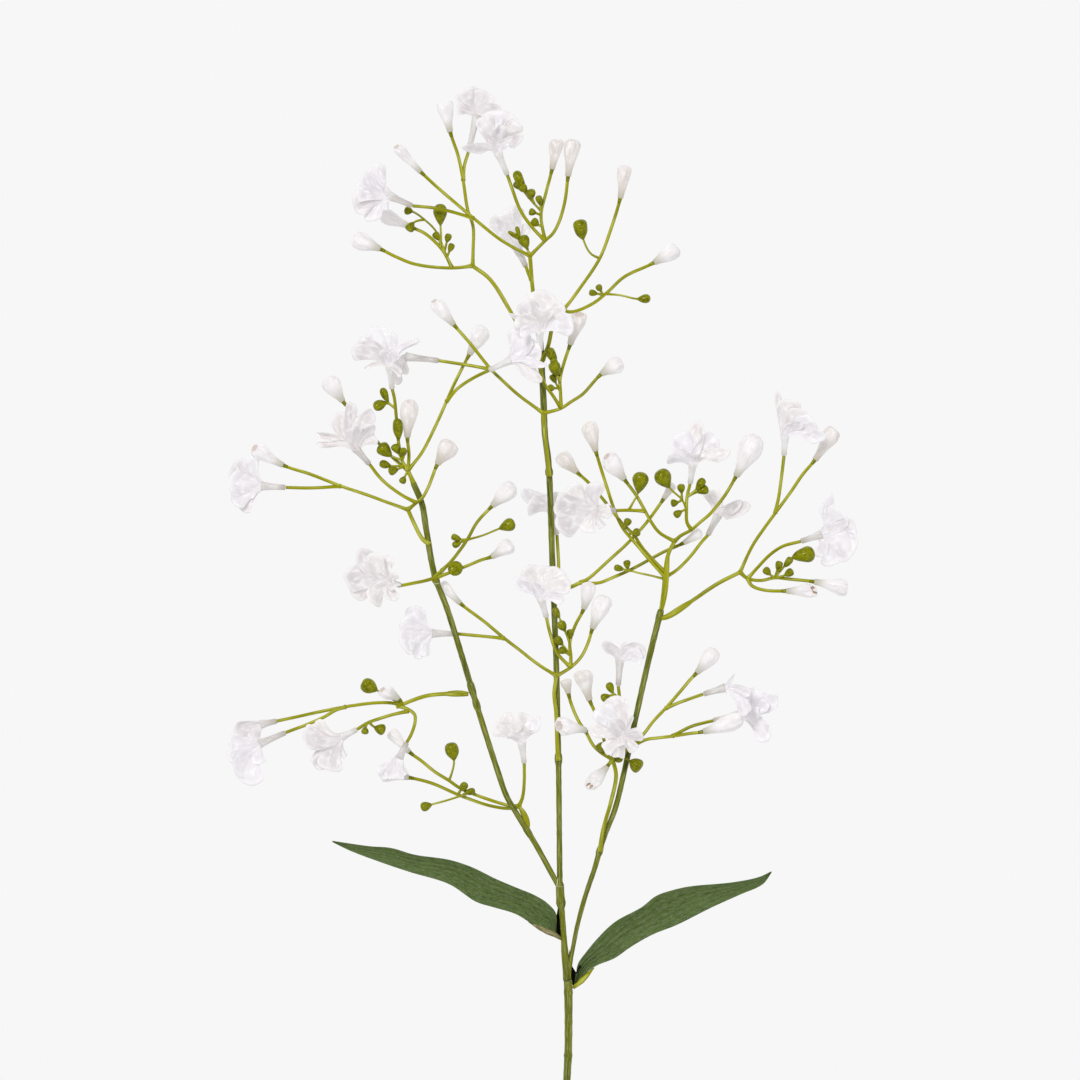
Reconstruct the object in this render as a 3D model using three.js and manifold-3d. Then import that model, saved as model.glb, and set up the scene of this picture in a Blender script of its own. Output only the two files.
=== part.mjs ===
// An artificial gypsophila stem, 60 cm long, as it lies on a table.
// A moulded stem carries a left and a right branch, moulded sprays of thin twigs with green berries
// and closed buds, fabric blooms on sleeves that are pushed onto pegs at the twig ends, and two leaves.
import * as THREE from "three";
import { mergeVertices } from "three/addons/utils/BufferGeometryUtils.js";
import Module from "manifold-3d";

const wasm = await Module();
wasm.setup();

// Driving dimensions in millimetres. On paper x runs across the stem, y along it from the fork and
// z up, with the branches at about z = 0.
const gap = 0.3;
const stalkRadius = 0.85;
const twigRadius = 0.7;
const berryStalkRadius = 0.5;
const smallBerry = 3.5;
const peg = { radius: 0.45, length: 3 };
const socket = { radius: 0.95, depth: 3.4 };
const sleeve = { baseRadius: 1.5, throatRadius: 2 };
const petal = {
  count: 5, thickness: 0.62, throatAngle: 18, cleft: 0.5, roundness: 0.4, unevenness: 14, droopStep: 2.4,
  middleRing: 0.55,
};
const leafBlade = { thickness: 0.9, tipThinning: 0.3, stations: 11, lanes: 4 };
const leafRib = { footRadius: 1, footLength: 1.5, tipRadius: 0.6, sides: 6 };
const mergeDistance = 1e-4;

const stemColour = 0x66721f;
const sprayColour = 0x8a8f1e;
const bloomColour = 0xf1eef4;
const leafColour = 0x4f6b40;

// ---------- solids ----------

// A closed mesh as a manifold-3d solid, with its seams merged and its collapsed faces dropped.
function solidOf(geometry) {
  geometry.deleteAttribute("normal");
  geometry.deleteAttribute("uv");
  const merged = mergeVertices(geometry, mergeDistance);
  const corners = merged.index.array;
  const kept = [];
  for (let i = 0; i < corners.length; i += 3) {
    const [a, b, c] = corners.slice(i, i + 3);
    if (a !== b && b !== c && c !== a) kept.push(a, b, c);
  }
  const mesh = new wasm.Mesh({
    numProp: 3,
    vertProperties: merged.attributes.position.array,
    triVerts: new Uint32Array(kept),
  });
  return new wasm.Manifold(mesh);
}

function geometryOf(solid) {
  const { vertProperties, triVerts } = solid.getMesh();
  const geometry = new THREE.BufferGeometry();
  geometry.setAttribute("position", new THREE.BufferAttribute(vertProperties, 3));
  geometry.setIndex(new THREE.BufferAttribute(triVerts, 1));
  geometry.computeVertexNormals();
  return geometry;
}

const join = (solids) => solids.reduce((whole, piece) => whole.add(piece));

const vector = (p) => new THREE.Vector3(...p);

// A smooth curve through the points.
const curveThrough = (points) => new THREE.CatmullRomCurve3(points.map(vector), false, "centripetal");

// A round solid bent along a curve. Its outline pairs a radius with a distance along the curve, and
// runs straight on past either end.
function bent(curve, outline, sides) {
  const length = curve.getLength();
  const profile = outline.map(([radius, distance]) => new THREE.Vector2(radius, distance));
  const geometry = new THREE.LatheGeometry(profile, sides);
  const position = geometry.attributes.position;
  const up = new THREE.Vector3(0, 0, 1);
  for (let i = 0; i < position.count; i++) {
    const distance = position.getY(i);
    const share = THREE.MathUtils.clamp(distance / length, 0, 1);
    const tangent = curve.getTangentAt(share);
    const raised = up.clone().addScaledVector(tangent, -up.dot(tangent)).normalize();
    const side = tangent.clone().cross(raised);
    const at = curve.getPointAt(share)
      .addScaledVector(tangent, distance - share * length)
      .addScaledVector(side, position.getX(i))
      .addScaledVector(raised, position.getZ(i));
    position.setXYZ(i, at.x, at.y, at.z);
  }
  return solidOf(geometry);
}

// Evenly spread distances from one to the other, both left out, no further than step apart.
function between(from, to, step) {
  const count = Math.max(1, Math.ceil((to - from) / step));
  return Array.from({ length: count - 1 }, (_, i) => from + ((i + 1) * (to - from)) / count);
}

// Turns geometry that stands along +Y at the origin to run from one point towards another.
function stand(geometry, from, direction) {
  const turn = new THREE.Quaternion().setFromUnitVectors(
    new THREE.Vector3(0, 1, 0),
    direction.clone().normalize(),
  );
  return geometry.applyQuaternion(turn).translate(from.x, from.y, from.z);
}

// A turned solid from one point to another. Its outline pairs a radius with a share of the length.
function turned(outline, sides, from, to) {
  const start = vector(from);
  const direction = vector(to).sub(start);
  const length = direction.length();
  const profile = outline.map(([radius, share]) => new THREE.Vector2(radius, share * length));
  return solidOf(stand(new THREE.LatheGeometry(profile, sides), start, direction));
}

// ---------- stems ----------

// Each stem tapers along a smooth curve through hand-picked points. Its moulded rings are given as
// [distance along the stem, length, radius].
const stems = {
  lower_stem: {
    via: [
      [-4.4, -238, -21.2], [-4, -200, -17.4], [-2.8, -140, -11.4], [-0.8, -80, -5.6],
      [0.8, -37.6, -2.2], [1.3, -27, -1.4], [1.4, -8.4, -0.3], [1.3, -1, 0],
    ],
    radii: [1.75, 1.7],
    rings: [[210.7, 1.8, 1.95], [236.6, 3, 2.6]],
    step: 26,
    cutBy: [],
  },
  centre_stem: {
    via: [
      [0.2, 1.8, 0], [0, 7.6, 0], [-0.8, 18.2, 0], [-1.7, 28.2, 0], [-2.2, 38.8, 0], [-2, 53, 0],
      [-2.6, 89.6, 0], [-3.4, 125, 0], [-5, 167.8, 0], [-6.6, 208.8, 0], [-8, 220, 0],
      [-8.6, 234, 0], [-10, 258, 0],
    ],
    radii: [1.4, 0.95],
    rings: [[31.2, 4.4, 1.75], [37.4, 1.8, 1.5], [88.6, 4, 1.5], [203.4, 3, 1.35]],
    step: 23,
    cutBy: [],
  },
  left_branch: {
    via: [
      [-2.4, 39.4, 0], [-3.9, 42, 0.2], [-11.6, 56, 0], [-18.8, 67.7, 0], [-23.4, 75.6, 0],
      [-26.8, 85.2, 0], [-35.4, 112.2, 0], [-41.3, 131.8, 0], [-47.5, 151.5, 0], [-52, 163.3, 0],
      [-55.5, 182.2, 0], [-57.2, 192.4, 0], [-60.4, 200.2, 0],
    ],
    radii: [1.05, 0.8],
    rings: [[25.2, 3.4, 1.3], [80.6, 2.6, 1.3], [87.2, 3, 1.3], [132.8, 3.4, 1.2]],
    step: 16,
    cutBy: ["centre_stem"],
  },
  right_branch: {
    via: [
      [2.9, 1.8, 0], [2.9, 6, 0], [3.2, 12, 0], [4.9, 23.6, 0], [7.9, 34.8, 0], [11.9, 46.8, 0],
      [14.2, 54.8, 0], [16.5, 61.5, 0], [19.9, 70, 0], [23.8, 85.8, 0], [28.6, 108.3, 0],
      [33.9, 131.8, 0], [38.3, 149.6, 0],
    ],
    radii: [1.05, 0.9],
    rings: [[53.4, 2.8, 1.3], [150.6, 3, 1.25]],
    step: 16,
    cutBy: [],
  },
};

// The fork's collar has a socket for the centre stem and one for the right branch.
const forkPegs = [
  { stem: "centre_stem", foot: [0.2, 2.1, 0], tip: [0.2, -2.4, 0], radius: 0.55 },
  { stem: "right_branch", foot: [2.9, 2.1, 0], tip: [2.9, -2.4, 0], radius: 0.45 },
];

const stemSides = 7;
const ringSlope = 0.7;
const shortestTaper = 1;
const pinSides = 5;

const pin = (foot, tip, radius) => turned([[0, 0], [radius, 0], [radius, 1], [0, 1]], pinSides, foot, tip);

// A stem's outline: its tapered length, with a step up and down at each ring. grow widens it all.
function stemOutline({ radii: [first, last], rings, step }, length, grow) {
  const outline = [[0, 0]];
  const radiusAt = (distance) => first + ((last - first) * distance) / length;
  const add = (distance, radius) => outline.push([radius + grow, distance]);
  add(0, first);
  let from = 0;
  for (const [middle, ringLength, radius] of rings) {
    const [start, end] = [middle - ringLength / 2, middle + ringLength / 2];
    between(from, start, step).forEach((distance) => add(distance, radiusAt(distance)));
    add(start, radiusAt(start));
    add(start + ringSlope, radius);
    add(end - ringSlope, radius);
    add(end, radiusAt(end));
    from = end;
  }
  if (length - from > shortestTaper) {
    between(from, length, step).forEach((distance) => add(distance, radiusAt(distance)));
    add(length, last);
  }
  outline.push([0, outline.at(-1)[1]]);
  return outline;
}

function stemSolid(spec, grow) {
  const curve = curveThrough(spec.via);
  return bent(curve, stemOutline(spec, curve.getLength(), grow), stemSides);
}

function socketed(name, solid) {
  if (name === "lower_stem") {
    const room = gap / Math.cos(Math.PI / pinSides);
    const holes = forkPegs.map(({ foot, tip, radius }) => {
      const bottom = [tip[0], tip[1] - gap, tip[2]];
      return pin(foot, bottom, radius + room);
    });
    return holes.reduce((whole, hole) => whole.subtract(hole), solid);
  }
  const own = forkPegs.filter((one) => one.stem === name);
  return join([solid, ...own.map(({ foot, tip, radius }) => pin(foot, tip, radius))]);
}

const clearances = Object.fromEntries(
  Object.entries(stems).map(([name, spec]) => [name, stemSolid(spec, gap)]),
);

const cutClear = (solid, names) => names.reduce((rest, name) => rest.subtract(clearances[name]), solid);

// ---------- blooms ----------

// A petal's length share across its width: short at the clefts on both sides, full between them.
function lobe(across) {
  return petal.cleft + (1 - petal.cleft) * Math.sin(Math.PI * across) ** petal.roundness;
}

// A corner between two petals is taken this little way round, so that it counts for the second.
const roundStart = 1e-6;

// A point of the petals' underside, a trumpet whose slope turns evenly from the throat to the rim.
// out is 0 at the throat and 1 at the rim, round is the angle about the bloom, lift raises the
// point square to the surface.
function petalPoint({ tube: height, petal: reach, open }, out, round, lift) {
  const petals = (round / (2 * Math.PI)) * petal.count;
  const along = out * lobe(petals - Math.floor(petals));
  const start = THREE.MathUtils.degToRad(petal.throatAngle);
  const droop = petal.unevenness * Math.sin(petal.droopStep * Math.floor(petals) + reach + open);
  const end = THREE.MathUtils.degToRad(open + droop);
  const slope = start + (end - start) * along;
  const arcRadius = reach / (end - start);
  return {
    radius: sleeve.throatRadius + arcRadius * (Math.cos(start) - Math.cos(slope)) - lift * Math.cos(slope),
    height: height + arcRadius * (Math.sin(slope) - Math.sin(start)) + lift * Math.sin(slope),
  };
}

// A bloom along +Y: a tapered sleeve with a socket for its peg, and petals that open from its throat.
// The petals have three sides each and the sleeve one, so two of every three of its corners close up.
function bloomGeometry(shape) {
  const segments = 3 * petal.count;
  const sleeveRings = [
    [0, socket.depth], [socket.radius, socket.depth], [socket.radius, 0], [sleeve.baseRadius, 0],
    [sleeve.throatRadius, shape.tube],
  ];
  const petalRings = [
    [petal.middleRing, 0], [1, 0], [1, petal.thickness], [petal.middleRing, petal.thickness],
  ];
  const outline = [
    ...sleeveRings,
    ...petalRings.map(([out]) => [1 + out, shape.tube + out]),
    [0, petalPoint(shape, 0, 0, petal.thickness).height],
  ];
  const geometry = new THREE.LatheGeometry(outline.map((p) => new THREE.Vector2(...p)), segments);
  const position = geometry.attributes.position;
  for (let i = 0; i <= segments; i++) {
    const round = (2 * Math.PI * (i % segments)) / segments;
    const sleeveRound = (2 * Math.PI * Math.round(i / 3)) / petal.count;
    outline.forEach(([sleeveRadius, height], j) => {
      const [out, lift] = petalRings[j - sleeveRings.length] ?? [];
      const onPetal = out === undefined ? null : petalPoint(shape, out, round + roundStart, lift);
      const at = onPetal ?? { radius: sleeveRadius, height };
      const angle = onPetal ? round : sleeveRound;
      position.setXYZ(i * outline.length + j, at.radius * Math.sin(angle), at.height,
        at.radius * Math.cos(angle));
    });
  }
  return geometry.rotateY(THREE.MathUtils.degToRad(shape.turn));
}

// ---------- sprays ----------

// The pieces of a spray, each along hand-picked points from its root outwards. A bud's and a berry's
// last two points are its own foot and tip. A bloom's twig ends in the peg that its sleeve goes on.
const stalk = (...via) => ({ kind: "stalk", via });
const bud = (width, ...via) => ({ kind: "bud", width, via });
const berry = (width, ...via) => ({ kind: width < smallBerry ? "smallBerry" : "berry", width, via });
const bloom = (name, aim, [tubeLength, reach, open, turn], ...via) => ({
  kind: "bloom", name, aim, shape: { tube: tubeLength, petal: reach, open, turn }, via,
});

const sprays = {
  crown_spray: {
    on: [],
    parts: [
      stalk([-10.1, 258.4, 0], [-10.4, 261.5, 0], [-12.8, 277.2, 0.4], [-14, 291.6, 1]),
      bud(4.6, [-14, 291.6, 1], [-20.4, 294.8, 2], [-26.4, 298.4, 3], [-36.4, 306.4, 4],
        [-49.6, 317.6, 5], [-57.6, 324.9, 6], [-67.2, 334.8, 8]),
      bloom("crown_bloom_left", [-0.85, 0.16, 0.5], [8, 14, 62, 0], [-36.4, 306.4, 4], [-46.3, 309.3, 5],
        [-52.9, 310.6, 5.6], [-60.9, 311.3, 6.2]),
      bloom("crown_bloom_top", [-0.3, 0.88, 0.42], [9.5, 15.5, 72, 20], [-8, 297.6, 1.6],
        [-13.2, 303, 3.4], [-17.8, 309.6, 4.6], [-21.2, 318.4, 5.4], [-23, 323.6, 6]),
      bud(4.4, [-8, 297.6, 1.6], [-9.6, 308, 1], [-7.6, 316.9, 1], [-5.2, 326.2, 1.5],
        [-3.2, 338, 2.5]),
      bud(5, [-14, 291.6, 1], [-8, 297.6, 1.6], [-4.8, 300.6, 2], [-2.2, 305.6, 2.4], [0, 313.6, 3.2],
        [1.2, 323.2, 4], [3.2, 337.6, 5]),
      berry(3.4, [-9.6, 308, 1], [-9.8, 310.6, 2], [-10.8, 315, 3.4]),
      berry(2.8, [-9.6, 308, 1], [-11.4, 308.6, 1.4], [-14.4, 309.4, 2]),
      berry(2.6, [-8.8, 304, 1.2], [-11, 304.4, 1], [-13.8, 305, 1]),
      berry(3.6, [-9.6, 309.6, 1], [-13.4, 313.6, 1.4], [-16, 317, 1.6], [-19.8, 325.6, 1.2]),
      berry(3, [-13.4, 313.6, 1.4], [-14.2, 316, 2.2], [-14.8, 319.4, 3.6]),
      berry(2.8, [-14.2, 314.6, 1.4], [-16.2, 315.4, 0.6], [-19, 316.8, 0]),
      berry(3.2, [-14, 291.6, 1], [-15.6, 296.4, 2.4], [-20.2, 303, 4.4]),
      bloom("crown_bloom_back", [-0.5, 0.8, -0.32], [7, 10.5, 58, 40], [-13.4, 282, 0.4],
        [-14.6, 284.6, -1.6], [-15.6, 287.4, -3.2]),
    ],
  },
  crown_left_spray: {
    on: ["centre_stem"],
    parts: [
      stalk([-9.4, 246.6, -0.6], [-11.4, 248.6, -2], [-15, 257, -2.4], [-21.2, 268.4, -2.8],
        [-30, 282.4, -3.4], [-37, 287.8, -3.6]),
      bud(5, [-37, 287.8, -3.6], [-36.8, 295.2, -4.6], [-36.8, 303.6, -5.4], [-39, 310.4, -6],
        [-40.8, 322, -6.4], [-42.8, 332, -6.4], [-46, 341.6, -6.2], [-48.4, 354, -6]),
      bloom("crown_left_bloom", [0.16, 0.96, -0.12], [10, 12.5, 66, 10], [-40.8, 322, -6.4],
        [-40.4, 328, -7], [-38.8, 333.4, -7.6]),
      bud(4.6, [-37, 287.8, -3.6], [-45.2, 287, -3.8], [-59.6, 288.4, -4], [-68, 291.6, -4],
        [-74, 294.6, -3.8], [-84.8, 298.8, -3.4]),
      bud(5, [-45.2, 287, -3.8], [-48.4, 293.2, -4.4], [-51, 296.4, -4.8], [-56, 300.8, -5],
        [-61.6, 303.4, -5], [-73.6, 308.4, -5.4]),
      berry(3, [-47.2, 291, -4.2], [-51.6, 301.6, -3.4], [-56.4, 306.4, -2.8], [-60.8, 309.4, -2.2],
        [-64.4, 310, -2]),
      berry(3.6, [-56.4, 306.4, -2.8], [-60.4, 305.2, -2], [-62.8, 301.6, -1.4]),
      berry(4.8, [-49.8, 294.8, -4.6], [-49.6, 299, -2.6], [-49.8, 305, -1.4], [-50, 312.2, -1]),
      berry(2.8, [-49.4, 294.4, -4.6], [-50.4, 298, -5.6], [-52.4, 301.4, -6]),
      berry(2.6, [-48.4, 293.2, -4.4], [-47.4, 297.2, -4], [-46.4, 300.8, -3.6]),
      berry(2.6, [-47.4, 291.2, -4.2], [-46.4, 293.4, -3.4], [-45, 296.8, -3]),
    ],
  },
  crown_right_spray: {
    on: ["centre_stem"],
    parts: [
      stalk([-9, 250, 0.6], [-6.6, 256, 1.6], [-5, 263, 2], [-1.2, 269.6, 2.4]),
      bud(3.6, [-1.2, 269.6, 2.4], [0.4, 271.2, 3], [6.4, 279.2, 3.4], [13.8, 290.4, 4],
        [18.4, 302.4, 4.4], [22, 314.4, 5], [24, 327.2, 6]),
      berry(5.4, [13.8, 290.4, 4], [10.2, 292.4, 4.4], [7.4, 297.6, 4.6], [5.6, 306, 4.6]),
      bud(4.6, [-1.2, 269.6, 2.4], [3.2, 269.2, 2.6], [11.1, 272.5, 2], [17.1, 277.2, 1],
        [23.6, 283.2, 0], [35.6, 289, -1.6], [45.2, 295.2, -3]),
      berry(2.6, [15.2, 276, 1.4], [14.4, 277.4, 2.6], [13, 279.8, 4]),
      berry(2.6, [15.2, 276, 1.4], [13, 276.4, 2.2], [9.6, 277, 3]),
      berry(3.2, [16.4, 276.4, 1.2], [22.4, 275.8, 1.4], [28.6, 274.4, 1.6], [34.2, 274.6, 1.6]),
    ],
  },
  upper_spray: {
    on: ["centre_stem"],
    parts: [
      stalk([-6.4, 203.6, 1], [-6.6, 207, 2.6], [-7.8, 218, 3], [-8.6, 228.6, 3]),
      bud(4.8, [-8.6, 228.6, 3], [-18.2, 235.6, 3.4], [-24, 240.8, 3], [-29.6, 246.2, 2.4],
        [-38.1, 256.8, 1.6], [-44.4, 264, 1.2], [-52.4, 273.6, 1]),
      bloom("upper_bloom_left", [-0.96, 0.16, -0.24], [9, 10, 60, 15], [-29.6, 246.2, 2.4],
        [-38, 247.8, 0.4], [-50.4, 249.8, -2]),
      bloom("upper_bloom_front", [-0.04, 0.8, 0.6], [8.5, 15.5, 78, 0], [-1.6, 230.6, 3.4],
        [-4.8, 235.6, 4.6], [-8.4, 240.8, 6.4], [-9.6, 246.4, 8.6], [-9.8, 250, 10.4]),
      bud(5, [-1.6, 230.6, 3.4], [-1.8, 237.2, 3.2], [-2, 242.2, 3.2], [-0.4, 248.8, 3.4], [2, 256, 3.8],
        [5.6, 268, 5]),
      bud(4.4, [-8.6, 228.6, 3], [-1.6, 230.6, 3.4], [2.4, 233.2, 3.6], [7, 236.2, 3.4],
        [14.4, 244.2, 3], [22.8, 249.2, 2.6]),
      berry(4.6, [-2, 240.6, 3.2], [-3, 243.4, 4.8], [-4.8, 249, 6.4]),
      berry(2.8, [-2, 242.2, 3.2], [-3.4, 247.4, 2.6], [-5.4, 251.6, 3]),
      berry(3, [-1.2, 245.6, 3.3], [-1.6, 250, 4.4], [-2.6, 254, 5]),
      berry(2.8, [-2, 238.8, 3.2], [-4, 238.6, 4], [-6.8, 238.8, 5]),
      berry(2.6, [-1.8, 237.2, 3.2], [-3.6, 240.6, 2.8], [-5.4, 244.2, 2.8]),
    ],
  },
  middle_spray: {
    on: ["centre_stem"],
    parts: [
      stalk([-2.4, 90, 1], [-2, 94, 2.6], [-2.2, 109.4, 3], [-3.7, 116.7, 3.4], [-3.4, 123.7, 3.6]),
      bud(5, [-3.4, 123.7, 3.6], [-11, 128.5, 3], [-18.3, 134.1, 0.6], [-24.2, 138.6, -1.8],
        [-32.3, 145.3, -4], [-41.9, 152.6, -5], [-49.6, 160.8, -5.6]),
      bloom("middle_bloom_left", [-0.97, 0.02, 0.1], [10, 12.5, 62, 30], [-24.2, 138.6, -1.8],
        [-32.3, 139.4, -3.6], [-43.2, 140.4, -4.6]),
      bloom("middle_bloom_front", [-0.2, 0.86, 0.46], [9, 14, 74, 12], [2.2, 127.1, 4.4],
        [-3.2, 133, 4.8], [-6, 140.8, 5.2], [-7.4, 147, 5.8]),
      bud(4.4, [2.2, 127.1, 4.4], [2.3, 131.8, 4.6], [1.9, 136.9, 4.8], [4.2, 144.2, 5],
        [7.4, 150.4, 5.4], [9.8, 161, 6]),
      bud(7, [-3.4, 123.7, 3.6], [2.2, 127.1, 4.4], [6.4, 131.3, 4], [9.2, 136.9, 3.4], [10.9, 142.5, 3],
        [16, 155.6, 2.6]),
      berry(3.6, [1.9, 136.9, 4.8], [0, 141.6, 5.4], [-2.2, 145.6, 6]),
      berry(2.8, [1.9, 136.9, 4.8], [2.2, 138.6, 5.8], [2, 142.4, 7]),
      berry(3.4, [2.3, 131.8, 4.6], [-0.8, 136, 5.2], [-4, 139, 5.6]),
      berry(3, [2.3, 131.8, 4.6], [0.4, 133, 5.4], [-2.4, 134.6, 6.4]),
      berry(2.6, [0, 141.6, 5.4], [-2.2, 146.8, 5], [-4.4, 151, 5]),
    ],
  },
  left_top_spray: {
    on: [],
    parts: [
      stalk([-60.53, 200.5, 0], [-61.2, 202.2, 0], [-62.8, 205.7, 0]),
      bud(7.6, [-62.8, 205.7, 0], [-62.4, 212.4, 0.6], [-63, 219, 1.2], [-62, 233.8, 2.6]),
      bud(4.8, [-62.8, 205.7, 0], [-61, 208, 0], [-57.2, 213, 0], [-51.8, 223.6, 0], [-47.4, 233.4, 0],
        [-43.8, 241.6, -2.4], [-38.4, 252.2, -3.6], [-32.4, 263.4, -4.4]),
      bloom("left_top_bloom_right", [0.86, 0.34, 0.34], [9.5, 12.5, 60, 50], [-47.4, 233.4, 0],
        [-42.8, 238.6, 3], [-36.1, 242.9, 6.4], [-30.4, 245.6, 8]),
      bloom("left_top_bloom_up", [-0.1, 0.9, 0.42], [8, 15, 76, 8], [-62.8, 205.7, 0], [-65.2, 210, 1],
        [-66.8, 219.2, 2], [-67.5, 228, 2.8], [-68.2, 234.8, 3.4], [-69, 238.2, 3.8]),
      bud(5.6, [-62.8, 205.7, 0], [-70, 212, -2.4], [-85.4, 229, -5.4], [-89, 233.6, -5.4],
        [-95.4, 243, -5]),
      berry(2.8, [-67.6, 230.4, 3], [-70.4, 232.8, 3], [-73.2, 238.8, 3]),
      berry(4, [-67.6, 230.4, 3], [-71, 232.6, 2.4], [-76.6, 231, 2]),
      berry(3.8, [-65.8, 213, 1.4], [-66.4, 217.4, 3], [-67, 226.6, 4.6]),
      berry(5, [-65.2, 210, 1], [-69, 211.4, 2], [-74.4, 216, 2.6]),
      berry(3, [-65.6, 211.6, 1.2], [-66.6, 212.6, 3.4], [-68.4, 216.2, 4.8]),
      berry(2.8, [-65.2, 210, 1], [-64.4, 211.6, 3], [-64.8, 214.6, 5]),
      berry(3, [-64.2, 207.6, 0.6], [-69.4, 207.6, 1.6], [-74.2, 208.8, 2]),
      berry(3.2, [-64.2, 207.6, 0.6], [-66.6, 206.4, 2.4], [-70.4, 205.2, 4]),
      berry(2.6, [-62.8, 205.7, 0], [-64, 203.4, 1.8], [-65.4, 200.6, 2.6]),
    ],
  },
  left_mid_spray: {
    on: ["left_branch"],
    parts: [
      stalk([-54.2, 176.4, 0.4], [-56.9, 178.3, 1.4], [-60, 183.9, 1.6], [-62.8, 190.1, 1.4]),
      bud(5.4, [-62.8, 190.1, 1.4], [-70.6, 192.9, -0.4], [-79.1, 196, -3], [-89.7, 199.6, -5.6],
        [-102.1, 204.4, -6], [-113, 208, -5.4], [-124.5, 214.8, -4.6]),
      bloom("left_mid_bloom_left", [-0.98, 0.08, -0.04], [8, 14, 64, 18], [-89.7, 199.6, -5.6],
        [-101.5, 198.9, -8.9], [-112, 199.1, -10.75]),
      bloom("left_mid_bloom_up", [-0.6, 0.68, 0.42], [9, 15.5, 62, 30], [-59.4, 192.9, 2.8],
        [-65.6, 196.2, 4.4], [-73.4, 202.4, 6], [-78, 208.2, 6.8]),
      bud(5.6, [-62.8, 190.1, 1.4], [-59.4, 192.9, 2.8], [-57.2, 194.6, 3.2], [-54.4, 199.6, 3.2],
        [-51, 208.2, 3.2], [-44, 218, 3.4]),
    ],
  },
  left_side_spray: {
    on: ["left_branch"],
    parts: [
      stalk([-52, 161.6, 0.6], [-52.2, 162.6, 1.8], [-49.4, 165.6, 2.6]),
      bloom("left_side_bloom", [-0.62, 0.16, 0.76], [7, 13.5, 78, 5], [-51, 163.2, 2],
        [-55.6, 161.8, 2.4], [-60.4, 160.8, 3], [-65.6, 159.8, 4]),
      bud(5.2, [-49.4, 165.6, 2.6], [-45.2, 169.8, 3], [-39.1, 178.1, 3], [-35.2, 185, 3],
        [-29.1, 191.6, 3.2], [-20.5, 200, 4]),
      berry(2.6, [-39.1, 178.1, 3], [-41.4, 178.2, 3.4], [-45.4, 179.6, 4]),
      berry(2.6, [-39.1, 178.1, 3], [-41.4, 177.2, 3], [-45, 175.6, 3]),
      berry(4.6, [-39.1, 178.1, 3], [-33, 179.8, 2.6], [-26.6, 182.4, 2.4], [-20, 185, 2.4]),
      bud(6, [-51, 163.2, 2], [-47.3, 164.5, 2.4], [-40.8, 167, 2.6], [-33, 170.2, 2.6],
        [-29.4, 171.3, 2.8], [-21.4, 176.6, 3.4]),
      berry(5.6, [-46, 165, 2.4], [-44.6, 165.8, 3.4], [-43.4, 167, 7.6]),
    ],
  },
  left_low_spray: {
    on: ["left_branch"],
    parts: [
      stalk([-37.2, 116.6, 0.2], [-43, 116.6, 0.2], [-54.7, 115.8, 0], [-61.2, 113.8, 0],
        [-66.4, 111.6, -0.4]),
      bloom("left_low_bloom_upper", [-0.88, -0.26, -0.42], [7, 9.5, 56, 0], [-65.2, 112, -0.4],
        [-69.4, 112.8, -0.8], [-76.2, 112.8, -1], [-87.6, 111.3, -1.4], [-98.7, 109.1, -3.4],
        [-107.2, 107.2, -5.4], [-115.4, 105.4, -6.8]),
      bloom("left_low_bloom_lower", [-0.84, -0.46, 0.3], [8, 13.5, 62, 25], [-87.6, 111.3, -1.4],
        [-91.8, 109.9, -1], [-96, 107.4, 0.6], [-101.6, 104.9, 3], [-111.4, 101.2, 5.6]),
      bloom("left_low_bloom_middle", [-0.86, -0.42, 0.3], [7.5, 13, 60, 40], [-62.6, 109.6, 0.6],
        [-69, 108.2, 2.4], [-74, 106.7, 3.2], [-79, 104.9, 3.8], [-83, 102.4, 4.2]),
      bud(5.6, [-66.4, 111.6, -0.4], [-65.4, 113, 1], [-66.6, 114.6, 2.4], [-73, 118.2, 4]),
      berry(5.6, [-65.4, 112.6, 0.4], [-70, 114.8, 0.4], [-74.7, 117.6, 0.6], [-81.4, 121, 0.8]),
      berry(2.8, [-79, 104.9, 3.8], [-79.6, 103.4, 4.4], [-80, 100.4, 5]),
      berry(4, [-78.2, 105.2, 3.8], [-76.4, 103.4, 3], [-71.8, 101.8, 2.4]),
      bloom("left_low_bloom_inner", [-0.5, -0.8, 0.3], [6.5, 8.5, 55, 0], [-66.4, 111.6, -0.4],
        [-62.6, 110.2, 0.4], [-60.1, 108.2, 0.8], [-59.9, 105.6, 0.8], [-60.4, 103.2, 1.4],
        [-61.8, 99.6, 2.2], [-63.2, 97.2, 2.8]),
    ],
  },
  low_left_spray: {
    on: ["left_branch"],
    parts: [
      stalk([-15.4, 61.2, -0.2], [-15.2, 64.6, -0.8], [-16.4, 68.2, -1.2], [-18.4, 71.4, -1.8]),
      bloom("low_left_bloom", [-0.12, 0.94, 0.3], [8, 12.5, 66, 15], [-18.4, 71.4, -1.8],
        [-17, 75, -1.4], [-16.3, 81.2, -1], [-16.3, 88.6, -0.6]),
      bud(4.6, [-18.4, 71.4, -1.8], [-22.8, 71.8, -2.8], [-32.3, 74.7, -2.4], [-41.9, 78.6, -2],
        [-46.4, 81.7, -1.8], [-52, 85.1, -2.6], [-57.6, 89.6, -3.6], [-62.3, 93, -4.4],
        [-70, 101.4, -5.4]),
      bud(5.4, [-18.4, 71.4, -1.8], [-22.2, 70.5, -3.2], [-29.5, 71.4, -4], [-41.3, 75.3, -4.6],
        [-53.6, 80.6, -4.8], [-62.6, 82.8, -5.2], [-74, 84.4, -5.6]),
      berry(4.6, [-46.4, 81.7, -1.8], [-45.2, 85.1, -1.4], [-44.4, 89.4, -1], [-46, 96.4, -0.6]),
      berry(3.4, [-38, 76.8, -2.2], [-46.9, 73.9, -1.6], [-53.1, 72.2, -1.4], [-57.8, 70.8, -1.2]),
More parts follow.
